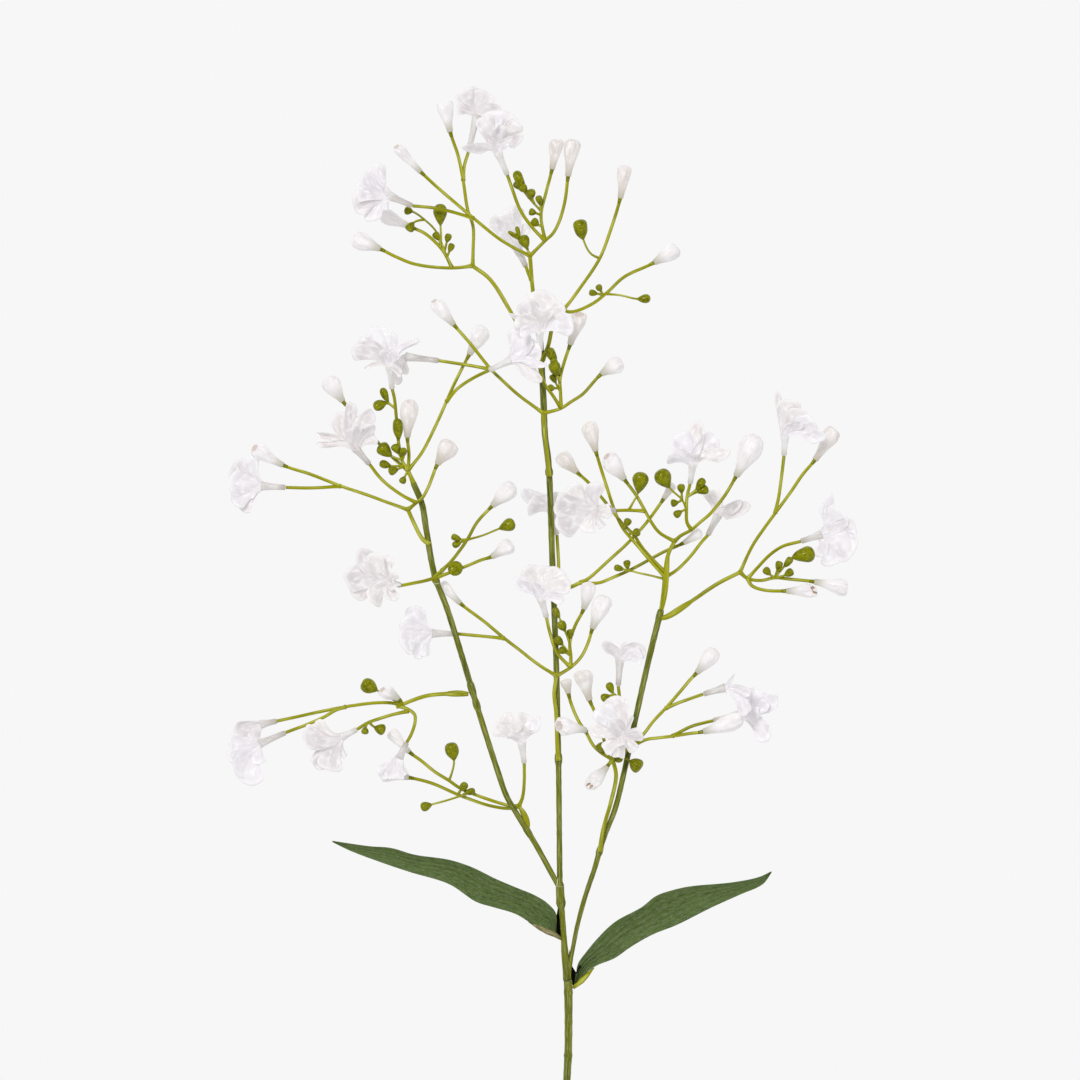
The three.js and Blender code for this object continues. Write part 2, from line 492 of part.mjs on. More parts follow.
      berry(2.8, [-40.4, 78, -2], [-40.2, 79.6, -1], [-41, 82.4, 0.4]),
      berry(2.8, [-37.4, 76.6, -2.2], [-36.8, 78, -1.2], [-36.6, 80.6, 0.2]),
    ],
  },
  right_top_spray: {
    on: [],
    parts: [
      stalk([38.35, 149.55, 0], [38.9, 152.4, 0], [39.5, 157.8, 0], [40, 164.9, 0], [41.1, 172.3, 0],
        [43.8, 177.4, 0]),
      bud(4.8, [43.8, 177.4, 0], [37.7, 181, 0.8], [34.2, 185.6, 1.6], [32, 189.6, 2.2],
        [28.8, 195.3, 2.6], [26.3, 198.8, 2.6], [23.8, 202.1, 2.6], [16.6, 211.4, 2.8]),
      bloom("right_top_bloom_left", [-0.78, 0.06, 0.62], [5.5, 14, 76, 10], [32, 189.6, 2.2],
        [25.6, 189.9, 3], [20.4, 189.8, 3.8]),
      berry(5.2, [25.6, 190.2, 3], [27.4, 193.4, 3.4], [29, 196.4, 4], [30.6, 204.6, 5]),
      bloom("right_top_bloom_up", [0.16, 0.92, 0.36], [8, 15, 66, 0], [50.6, 182.1, 0], [48.8, 185, 0.4],
        [48.6, 190.4, 0.8], [48.8, 195.3, 1], [50, 200.4, 1.4]),
      berry(5.6, [48.6, 190.4, 0.8], [46.7, 194.2, 2], [42, 198.8, 3], [37.8, 205, 4]),
      berry(2.8, [46.7, 194.2, 2], [46.6, 196.6, 3], [46.2, 200.4, 4]),
      berry(2.8, [46.7, 194.2, 2], [45.4, 193.2, 2.8], [42.2, 192.6, 3.4]),
      berry(2.8, [48.6, 190.4, 0.8], [46.8, 189.6, 2], [43.6, 187.6, 3]),
      berry(3, [48.8, 195.3, 1], [52.2, 198, 1.8], [55.6, 202.6, 2.4]),
      berry(3.4, [48.8, 195.3, 1], [52.4, 197, 0.6], [57.4, 198.6, 0.4]),
      bud(9, [43.8, 177.4, 0], [46.1, 179.6, 0], [50.6, 182.1, 0], [53.8, 184.9, 1], [58, 188.5, 2],
        [63.5, 195.3, 3], [68.3, 203.4, 3.6], [76.6, 219.4, 5]),
      bud(4.4, [40, 163.2, 0], [34.2, 169.6, -1.6], [28.8, 176, -2.4], [23.4, 182.4, -3],
        [20.6, 188, -4.4], [17, 198.6, -5.4], [12.4, 213.5, -5.6], [9.4, 225.2, -5.6]),
      bud(4.4, [40.2, 165, 0], [31.4, 174.4, -3.4], [27.6, 180, -3.4], [23, 184.6, -3.6],
        [17, 192.2, -6], [13.4, 196.6, -6.6], [9.1, 201.4, -6.8], [4.9, 205.1, -6.8],
        [-2.2, 212.4, -6.8]),
      berry(2.8, [23.4, 182.4, -3], [24.2, 183.6, -1.6], [25.6, 186.4, 0.2]),
      berry(3.2, [25.4, 180.2, -2.8], [27, 180.6, -1.4], [29.8, 181.4, 0.2]),
      bloom("right_top_bloom_back", [0.42, 0.78, -0.42], [7, 12, 70, 30], [40, 163, 0],
        [44.8, 166, -1.6], [50.2, 171.4, -3.4], [54.8, 177.2, -5], [57.2, 179.8, -6]),
      berry(2.6, [39.8, 162.4, 0], [34.2, 163.8, -0.8], [27.7, 165.3, -1.4], [25.4, 166.4, -1.4],
        [24.6, 170, -1.2]),
      berry(2.6, [26.6, 165.7, -1.4], [23.6, 166.2, -1], [19.6, 167.2, -0.6]),
    ],
  },
  centre_right_spray: {
    on: ["centre_stem"],
    parts: [
      stalk([-4.2, 157, -0.6], [-1.6, 158, -2.4], [2.9, 159.4, -4], [6, 160.9, -5.2]),
      bud(3.6, [6, 160.9, -5.2], [9.2, 162.4, -5.8], [18.1, 170.3, -6.4], [24.8, 176.4, -6.6],
        [32.4, 184.6, -5.6], [39.6, 194.6, -4], [43.4, 200.6, -4]),
      bud(4, [6, 160.9, -5.2], [13.4, 160.8, -5.8], [19.8, 163.2, -6.2], [27, 166.4, -6.4],
        [39.5, 173.2, -5.8], [47.7, 176.9, -5], [54.4, 181.4, -4]),
      bloom("centre_right_bloom", [-0.34, 0.8, -0.46], [7, 10, 62, 0], [-0.4, 158.4, -2.8],
        [-2.2, 163, -2.6], [-2.6, 170, -2.8], [-3.2, 180, -3.6]),
    ],
  },
  right_side_spray: {
    on: ["right_branch"],
    parts: [
      stalk([38.2, 146.6, 0.2], [41, 147.4, 0.2], [48.4, 152, 0], [60.8, 160.4, 0], [70, 165.1, 0]),
      bloom("right_side_bloom_up", [0.16, 0.86, 0.48], [9, 15.5, 70, 20], [84, 188.7, 2],
        [85.4, 195.4, 2.8], [86.8, 206.1, 4], [87.4, 211.6, 4.8]),
      bud(5.2, [70, 165.1, 0], [75, 175.8, 1], [79.5, 182.5, 1.6], [84, 188.7, 2], [90.2, 197.1, 1],
        [95.2, 204.4, 0], [100, 210, -0.8], [108, 222.4, -2]),
      bloom("right_side_bloom_low", [0.96, 0.26, -0.06], [8, 16, 62, 0], [73.1, 162.6, 0],
        [77.3, 167.2, -2.2], [82.3, 172.2, -5], [87.4, 175.5, -7.4], [94.6, 177.4, -9.2]),
      bud(5, [70, 165.1, 0], [73.1, 162.6, 0], [78.4, 161.8, 0], [84, 162.9, 0], [90.2, 162.3, -0.6],
        [99.7, 161.3, -1.6], [113.2, 158.6, -3]),
      bud(4.4, [73.1, 162.6, 0], [74.6, 159.8, 0.8], [79.5, 158, 1.8], [88.4, 157.6, 2.6],
        [99.4, 158, 3.4]),
      berry(2.8, [84, 162.9, 0], [82.2, 164, 0.8], [79.6, 166.8, 1.6]),
      berry(2.8, [84, 162.9, 0], [84.8, 165.8, 0.8], [86, 169.6, 1.4]),
      berry(3.2, [84, 162.9, 0], [87.6, 163.8, 1], [91.2, 165.8, 1.8]),
      berry(2.8, [84.8, 165.8, 0.8], [87.4, 167.2, 1.6], [90.6, 171, 2.2]),
      berry(4.6, [84, 162.9, 0], [87.4, 165.4, 0], [91.6, 168.6, 0], [98, 173.4, 0]),
    ],
  },
  right_low_spray: {
    on: ["right_branch"],
    parts: [
      stalk([14, 53.6, 0.4], [14.4, 57.4, 1.8], [15.4, 63, 2.6], [18.5, 74, 3], [20.4, 84, 3],
        [19, 90.4, 3]),
      bud(6.6, [19, 90.4, 3], [16.8, 87.5, 3.6], [9.8, 80, 6]),
      bud(4.6, [19, 90.4, 3], [14.7, 92.8, 3], [11.2, 96.1, 3.2], [8.3, 101.4, 3.4], [5.8, 105, 2.8],
        [4, 108.6, 2.6], [2.2, 113.4, 2.4], [1.4, 116.6, 2.2], [0.2, 122.2, 2]),
      bud(6.4, [8.3, 101.4, 3.4], [8.2, 102, 5], [-2.4, 104, 9]),
      bud(6, [17, 91.4, 3], [15.6, 98, 2], [12.2, 108.6, 1.6], [9.9, 113.8, 1.4], [6.8, 125.6, 1.2]),
      bloom("right_low_bloom_up", [0.06, 0.98, 0.16], [7.5, 11, 76, 0], [19, 90.4, 3], [20.4, 97, 1],
        [21.4, 107, 0], [21.8, 114.6, 0], [21.3, 119.6, 0]),
      berry(2.8, [21.6, 115, 0], [19.4, 116.6, 0.4], [17.2, 121, 0.8]),
      berry(3, [20.2, 116, 0.2], [18, 115.8, 1], [14.4, 114.4, 1.6]),
      bloom("right_low_bloom_front", [0.1, 0.2, 0.97], [6.5, 14, 84, 10], [19, 90.4, 3], [20.6, 95, 4.2],
        [21.8, 98.6, 6.6]),
      bud(6.4, [19, 90.4, 3], [25.6, 95.4, 3.6], [31.3, 100.4, 3.4], [35.1, 105.4, 3.2],
        [40.1, 110.7, 3], [45.8, 117.2, 3], [50, 122.2, 3], [52.6, 124.9, 3], [60.4, 134, 3.2]),
      bloom("right_low_bloom_right", [0.86, -0.02, 0.46], [10, 13.5, 70, 22], [40.1, 110.7, 3],
        [45, 112.8, 2.6], [50, 114.6, 2.6], [55.2, 116.4, 2.8]),
      bud(7.6, [19, 90.4, 3], [25, 94.2, 3.6], [32.2, 98.2, 3.2], [36.8, 98.9, 2.8], [42.9, 99.6, 2.4],
        [50, 100.7, 2.2], [55.2, 101.4, 2.2], [71, 106.8, 2.6]),
      bloom("right_low_bloom_back", [0.84, -0.18, -0.42], [9, 13, 70, 40], [42.9, 99.6, 2.4],
        [50, 103.2, -0.6], [54.7, 104.6, -2.2], [59.2, 105.6, -3.6]),
      berry(2.8, [19, 90.4, 3], [20, 90.6, 4.8], [21.6, 91.2, 7.2]),
      berry(5.6, [19, 90.4, 3], [22.6, 91.2, 4.2], [25.6, 90, 5], [30.4, 86.8, 6]),
    ],
  },
};

// How each kind of piece is rounded off. Every piece is a bent turned solid, pointed at its root
// inside the piece it grows from, except that a stalk starts blunt.
const looks = {
  stalk: { radius: stalkRadius, sides: 5, start: 0 },
  bud: { radius: twigRadius, sides: 5, start: 1 },
  berry: { radius: berryStalkRadius, sides: 5, start: 1 },
  smallBerry: { radius: berryStalkRadius, sides: 4, start: 1 },
  bloom: { radius: twigRadius, sides: 4, start: 1 },
};

// Rows of [share of the half width, share of the length], from a piece's foot to its tip.
const berryOutline = [[0.85, 0.4], [1, 0.72], [0, 1]];
const budOutline = [[0.78, 0.56], [1, 0.86], [0, 1]];
const budFoot = { radius: 1.1, share: 0.14 };
const stalkEnd = { straight: 0.6, tip: 1.6 };
const pegStep = 0.01;
const spanSamples = 20;

const scaled = (outline, half, length) => outline.map(([across, along]) => [across * half, along * length]);
const berryEnd = (half, length) => scaled(berryOutline, half, length);

// The end of each kind as [radius, distance past the start of its last stretch].
const ends = {
  stalk: (half, length) => [[stalkRadius, length + stalkEnd.straight], [0, length + stalkEnd.tip]],
  bud: (half, length) => [[budFoot.radius, budFoot.share * length], ...scaled(budOutline, half, length)],
  berry: berryEnd,
  smallBerry: berryEnd,
  bloom: (half, length) => [[peg.radius, pegStep], [peg.radius, length], [0, length]],
};

// A bud's and a berry's last two points are its foot and tip, and a bloom's peg adds a last point.
function partSolid({ kind, via, width, aim }) {
  const { radius, sides, start } = looks[kind];
  const points = [...via];
  if (kind === "bloom") {
    const tip = vector(via.at(-1)).addScaledVector(vector(aim).normalize(), peg.length);
    points.push(tip.toArray());
  }
  const curve = curveThrough(points);
  const samples = curve.getLengths(spanSamples * (points.length - 1));
  const marks = samples.filter((_, i) => i % spanSamples === 0);
  const foot = marks.at(-2);
  const stations = [start, ...marks.slice(1, -1)].map((distance) => [radius, distance]);
  const end = ends[kind](width / 2, marks.at(-1) - foot).map(([r, distance]) => [r, foot + distance]);
  return bent(curve, [[0, 0], ...stations, ...end], sides);
}

// ---------- leaves ----------

// A leaf is a thin blade between its left and right edges, as seen from its foot, on a moulded rib.
const leaves = {
  left_leaf: {
    rightEdge: [
      [-4.2, 25.2, 1.6], [-9.8, 34.2, 3.2], [-18.4, 38.8, 4.6], [-27.7, 42.8, 5.6], [-37, 47.4, 6.2],
      [-46.2, 50.4, 6], [-60.2, 52.4, 4.6], [-69.5, 55, 3.2], [-78.1, 55.6, 1.6], [-93.2, 57.6, -1.6],
    ],
    leftEdge: [
      [-4, 19.6, 1], [-11.8, 23.2, 1.6], [-19.7, 28.5, 2.2], [-28.4, 31.2, 2.8], [-35.6, 33.5, 3.4],
      [-46.2, 40.5, 4], [-62.2, 45.4, 3.2], [-73.4, 49.1, 2], [-86, 53.7, -0.2], [-93, 57, -1.7],
    ],
    rib: [[-1.2, 18.2, 0.5], [-3.4, 20.2, 1.4], [-8.4, 24.6, 1.8], [-14.4, 29.6, 2.4]],
    arch: -1.6,
    cutBy: ["centre_stem"],
  },
  right_leaf: {
    leftEdge: [
      [5.2, 8.6, 2.4], [12.6, 18.5, 4], [19.8, 25.5, 5.4], [30.5, 31.5, 6.6], [36.4, 36.1, 7],
      [43.1, 38.4, 6.8], [49.7, 39.8, 6.2], [67, 41.3, 3.6], [77.6, 43.3, 1.4], [82.5, 45.5, 0.4],
    ],
    rightEdge: [
      [5.9, 1.2, 1.4], [12.6, 7.9, 2.2], [19.8, 10.9, 2.8], [26.5, 15.6, 3.6], [35.1, 20.5, 4.2],
      [44.4, 24.2, 4.4], [58.3, 31.1, 3.6], [69.6, 36.1, 2], [79.2, 40.4, 0.6], [82.6, 44.9, 0.3],
    ],
    rib: [[3.2, -0.8, 1.4], [5, 1, 1.8], [9, 6, 2.4], [14, 13, 3.2]],
    arch: -1.6,
    cutBy: ["lower_stem", "right_branch"],
  },
};

// The blade starts as a box of cells. Its length follows the edges, its width runs from one edge to
// the other with the middle sunk by arch, and its thickness thins out at the tip.
function bladeGeometry({ leftEdge, rightEdge, arch }) {
  const [left, right] = [leftEdge, rightEdge].map(curveThrough);
  const geometry = new THREE.BoxGeometry(1, 1, 1, leafBlade.stations, leafBlade.lanes, 1);
  const position = geometry.attributes.position;
  for (let i = 0; i < position.count; i++) {
    const along = position.getX(i) + 0.5;
    const across = position.getY(i) + 0.5;
    const at = right.getPointAt(along).lerp(left.getPointAt(along), across);
    const fold = arch * Math.sin(Math.PI * across) * Math.sin(Math.PI * along);
    const thickness = leafBlade.thickness * (1 - leafBlade.tipThinning * along);
    position.setXYZ(i, at.x, at.y, at.z + fold + position.getZ(i) * thickness);
  }
  return geometry;
}

function leafSolid(leaf) {
  const blade = solidOf(bladeGeometry(leaf));
  const curve = curveThrough(leaf.rib);
  const length = curve.getLength();
  const { footRadius, footLength, tipRadius, sides } = leafRib;
  const rib = bent(curve, [[0, 0], [footRadius, footLength], [tipRadius, length], [0, length]], sides);
  return cutClear(blade.add(rib), leaf.cutBy);
}

// ---------- the stem as a whole ----------

const plastic = (color) => new THREE.MeshStandardMaterial({ color, roughness: 0.4, metalness: 0 });
const fabric = (color) => new THREE.MeshStandardMaterial({ color, roughness: 0.75, metalness: 0 });

const plant = new THREE.Group();

function addMesh(name, geometry, material) {
  const mesh = new THREE.Mesh(geometry, material);
  mesh.name = name;
  plant.add(mesh);
}

for (const [name, spec] of Object.entries(stems)) {
  const solid = cutClear(stemSolid(spec, 0), spec.cutBy);
  addMesh(name, geometryOf(socketed(name, solid)), plastic(stemColour));
}

for (const [name, leaf] of Object.entries(leaves)) {
  addMesh(name, geometryOf(leafSolid(leaf)), fabric(leafColour));
}

for (const [name, { on, parts }] of Object.entries(sprays)) {
  const solid = cutClear(join(parts.map(partSolid)), on);
  addMesh(name, geometryOf(solid), plastic(sprayColour));
  for (const part of parts.filter((one) => one.kind === "bloom")) {
    const aim = vector(part.aim).normalize();
    const foot = vector(part.via.at(-1)).addScaledVector(aim, gap);
    addMesh(part.name, stand(bloomGeometry(part.shape), foot, aim), fabric(bloomColour));
  }
}

// The stem's own frame has its origin under the middle of its box, on the surface it lies on.
const box = new THREE.Box3().setFromObject(plant);
const middle = box.getCenter(new THREE.Vector3());
plant.position.set(-middle.x, -middle.y, -box.min.z);

const gypsophilaStem = new THREE.Group();
gypsophilaStem.add(plant);

export default gypsophilaStem;
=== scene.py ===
# An artificial gypsophila stem, 60 cm long, lies on a light table and is seen from straight above.
import math
from bisect import bisect
from random import Random

import bmesh
import bpy
from mathutils import Matrix, Quaternion, Vector, noise
from mathutils.geometry import interpolate_bezier


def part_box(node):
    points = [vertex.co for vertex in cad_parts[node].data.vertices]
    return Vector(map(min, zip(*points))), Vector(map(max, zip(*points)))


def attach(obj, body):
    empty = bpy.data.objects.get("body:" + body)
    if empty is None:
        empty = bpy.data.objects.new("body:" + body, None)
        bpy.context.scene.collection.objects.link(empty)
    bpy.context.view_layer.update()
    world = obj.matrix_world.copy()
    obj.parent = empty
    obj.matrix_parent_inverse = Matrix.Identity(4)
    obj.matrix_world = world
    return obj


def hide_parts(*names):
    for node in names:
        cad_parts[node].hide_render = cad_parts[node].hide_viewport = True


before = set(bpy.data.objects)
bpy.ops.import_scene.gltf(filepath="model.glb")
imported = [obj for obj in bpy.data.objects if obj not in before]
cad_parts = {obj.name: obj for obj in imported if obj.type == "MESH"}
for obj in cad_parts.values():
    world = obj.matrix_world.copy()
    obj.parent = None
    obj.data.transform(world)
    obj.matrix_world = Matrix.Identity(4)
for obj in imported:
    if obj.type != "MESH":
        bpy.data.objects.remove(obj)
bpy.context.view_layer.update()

# Points on the plant are in millimetres from its fork: x across, y along the stem, z up from the
# branches. The centre stem's box says where the fork lies.
forkReach = {"right": 1.564, "foot": -2.4, "top": 1.75}

stemLow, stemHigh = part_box("centre_stem")
fork = Vector((stemHigh.x - forkReach["right"] / 1000,
               stemLow.y - forkReach["foot"] / 1000,
               stemHigh.z - forkReach["top"] / 1000))
toFrame = Matrix.Translation(fork) @ Matrix.Diagonal((0.001, 0.001, 0.001, 1))

# Camera, floor and light.

cameraSetup = {"lens": 200, "sensor": 36, "viewWidth": 432, "over": (-10, 178, 0), "farthest": 50}
floorSetup = {"size": 12, "below": 0.0002, "glow": 0.93}
lightSetup = {"world": 0.5,
              "key": {"at": (-1500, 2200, 4600), "size": 1.3, "power": 150, "colour": (1, 0.995, 0.985)},
              "fill": {"at": (3400, -2000, 4200), "size": 4, "power": 50, "colour": (0.985, 0.99, 1)}}


def makeCamera():
    data = bpy.data.cameras.new("camera")
    data.lens = cameraSetup["lens"]
    data.sensor_width = cameraSetup["sensor"]
    data.clip_end = cameraSetup["farthest"]
    camera = bpy.data.objects.new("camera", data)
    distance = cameraSetup["viewWidth"] * cameraSetup["lens"] / cameraSetup["sensor"] / 1000
    camera.location = toFrame @ Vector(cameraSetup["over"]) + Vector((0, 0, distance))
    bpy.context.collection.objects.link(camera)
    bpy.context.scene.camera = camera


def makeLights():
    scene = bpy.context.scene
    scene.view_settings.view_transform = "Standard"
    world = bpy.data.worlds.new("studio")
    world.use_nodes = True
    background = world.node_tree.nodes["Background"]
    background.inputs["Color"].default_value = (1, 1, 1, 1)
    background.inputs["Strength"].default_value = lightSetup["world"]
    scene.world = world
    target = toFrame @ Vector(cameraSetup["over"])
    for name in ("key", "fill"):
        setup = lightSetup[name]
        data = bpy.data.lights.new(name, "AREA")
        data.size = setup["size"]
        data.energy = setup["power"]
        data.color = setup["colour"]
        light = bpy.data.objects.new(name, data)
        light.location = toFrame @ Vector(setup["at"])
        light.rotation_mode = "QUATERNION"
        light.rotation_quaternion = (target - light.location).to_track_quat("-Z", "Y")
        light.visible_camera = False
        bpy.context.collection.objects.link(light)


def makeFloor():
    mesh = bmesh.new()
    bmesh.ops.create_grid(mesh, x_segments=1, y_segments=1, size=floorSetup["size"] / 2)
    data = bpy.data.meshes.new("floor")
    mesh.to_mesh(data)
    mesh.free()
    floor = bpy.data.objects.new("floor", data)
    floor.location.z = -floorSetup["below"]
    bpy.context.collection.objects.link(floor)
    data.materials.append(plain("floorLight", {
        "Base Color": (0, 0, 0, 1), "Roughness": 1, "Specular IOR Level": 0,
        "Emission Color": (1, 1, 1, 1), "Emission Strength": floorSetup["glow"]}))


# Materials.

def plain(name, settings):
    material = bpy.data.materials.new(name)
    material.use_nodes = True
    shader = material.node_tree.nodes["Principled BSDF"]
    for socket, value in settings.items():
        shader.inputs[socket].default_value = value
    return material


def newGroup(name, takes, gives):
    group = bpy.data.node_groups.new(name, "ShaderNodeTree")
    for socket, kind in takes.items():
        group.interface.new_socket(socket, in_out="INPUT", socket_type=kind)
    for socket, kind in gives.items():
        group.interface.new_socket(socket, in_out="OUTPUT", socket_type=kind)
    return group, group.nodes.new("NodeGroupInput"), group.nodes.new("NodeGroupOutput")


def addNode(tree, kind, values=None, links=None, **options):
    node = tree.nodes.new(kind)
    for option, value in options.items():
        setattr(node, option, value)
    for socket, value in (values or {}).items():
        node.inputs[socket].default_value = value
    for socket, source in (links or {}).items():
        tree.links.new(source, node.inputs[socket])
    return node


def mixColours(tree, share, first, second):
    mix = tree.nodes.new("ShaderNodeMix")
    mix.data_type = "RGBA"
    for socket, source in ((mix.inputs[0], share), (mix.inputs[6], first), (mix.inputs[7], second)):
        if hasattr(source, "is_output"):
            tree.links.new(source, socket)
        else:
            socket.default_value = source
    return mix.outputs[2]


mottleShape = {"broad": {"roughness": 0.55, "from": 0.3, "to": 0.62, "most": 1},
               "fine": {"scale": 2.4, "roughness": 0.6, "from": 0.48, "to": 0.72, "most": 0.85},
               "footing": 0.01, "detail": 3.5, "bump": 0.6}


def makeSpeckle(group, takes, place, scale, shape):
    # A noise, and how far it has come between the shape's limits.
    speckle = addNode(group, "ShaderNodeTexNoise", {"Roughness": shape["roughness"]},
                      {"Vector": place, "Scale": scale, "Detail": takes.outputs["Detail"]})
    share = addNode(group, "ShaderNodeMapRange",
                    {"From Min": shape["from"], "From Max": shape["to"], "To Max": shape["most"]},
                    {"Value": speckle.outputs["Fac"]})
    return speckle.outputs["Fac"], share.outputs[0]


# Every piece keeps each point's place before it was bent, in millimetres, in its "flat" attribute.
def makeMottle():
    group, takes, gives = newGroup(
        "mottle",
        {"Scale": "NodeSocketFloat", "Squeeze": "NodeSocketVector", "Dark": "NodeSocketColor",
         "Body": "NodeSocketColor", "Light": "NodeSocketColor", "Foot": "NodeSocketColor",
         "Footing": "NodeSocketFloat", "Detail": "NodeSocketFloat"},
        {"Colour": "NodeSocketColor", "Mask": "NodeSocketFloat", "Height": "NodeSocketFloat"})
    flat = addNode(group, "ShaderNodeAttribute", attribute_name="flat")
    squeezed = addNode(group, "ShaderNodeVectorMath",
                       links={0: flat.outputs["Vector"], 1: takes.outputs["Squeeze"]},
                       operation="MULTIPLY")
    parts = addNode(group, "ShaderNodeSeparateXYZ", links={0: flat.outputs["Vector"]})
    risen = addNode(group, "ShaderNodeMapRange",
                    links={"Value": parts.outputs["Z"], "From Max": takes.outputs["Footing"]},
                    interpolation_type="SMOOTHSTEP")
    finer = addNode(group, "ShaderNodeMath", {1: mottleShape["fine"]["scale"]},
                    {0: takes.outputs["Scale"]}, operation="MULTIPLY")
    broad, darker = makeSpeckle(group, takes, squeezed.outputs[0], takes.outputs["Scale"],
                                mottleShape["broad"])
    fine, lighter = makeSpeckle(group, takes, squeezed.outputs[0], finer.outputs[0], mottleShape["fine"])
    base = mixColours(group, darker, takes.outputs["Dark"], takes.outputs["Body"])
    mixed = mixColours(group, lighter, base, takes.outputs["Light"])
    final = mixColours(group, risen.outputs[0], takes.outputs["Foot"], mixed)
    group.links.new(final, gives.inputs["Colour"])
    group.links.new(broad, gives.inputs["Mask"])
    group.links.new(fine, gives.inputs["Height"])
    return group


def mottled(name, setup):
    material = plain(name, setup["shader"])
    tree = material.node_tree
    shader = tree.nodes["Principled BSDF"]
    mottle = addNode(tree, "ShaderNodeGroup", node_tree=mottleGroup)
    for socket in ("Scale", "Squeeze"):
        mottle.inputs[socket].default_value = setup[socket.lower()]
    for socket in ("Dark", "Body", "Light"):
        mottle.inputs[socket].default_value = (*setup[socket.lower()], 1)
    mottle.inputs["Foot"].default_value = (*setup.get("foot", setup["body"]), 1)
    mottle.inputs["Footing"].default_value = setup.get("footing", mottleShape["footing"])
    mottle.inputs["Detail"].default_value = setup.get("detail", mottleShape["detail"])
    bump = addNode(tree, "ShaderNodeBump",
                   {"Strength": mottleShape["bump"], "Distance": setup["relief"]},
                   {"Height": mottle.outputs["Height"]})
    low, high = setup["roughness"]
    rough = addNode(tree, "ShaderNodeMapRange", {"To Min": low, "To Max": high},
                    {"Value": mottle.outputs["Mask"]})
    tree.links.new(mottle.outputs["Colour"], shader.inputs["Base Color"])
    tree.links.new(rough.outputs[0], shader.inputs["Roughness"])
    tree.links.new(bump.outputs["Normal"], shader.inputs["Normal"])
    return material


def paintedGlow(colour, strength):
    # Cloth and sleeves are given a painted glow: an emission, though they are no lamp, that stands in for
    # light shining through them and lightens their shaded sides.
    return {"Specular IOR Level": 0.3, "Emission Color": (*colour, 1), "Emission Strength": strength}
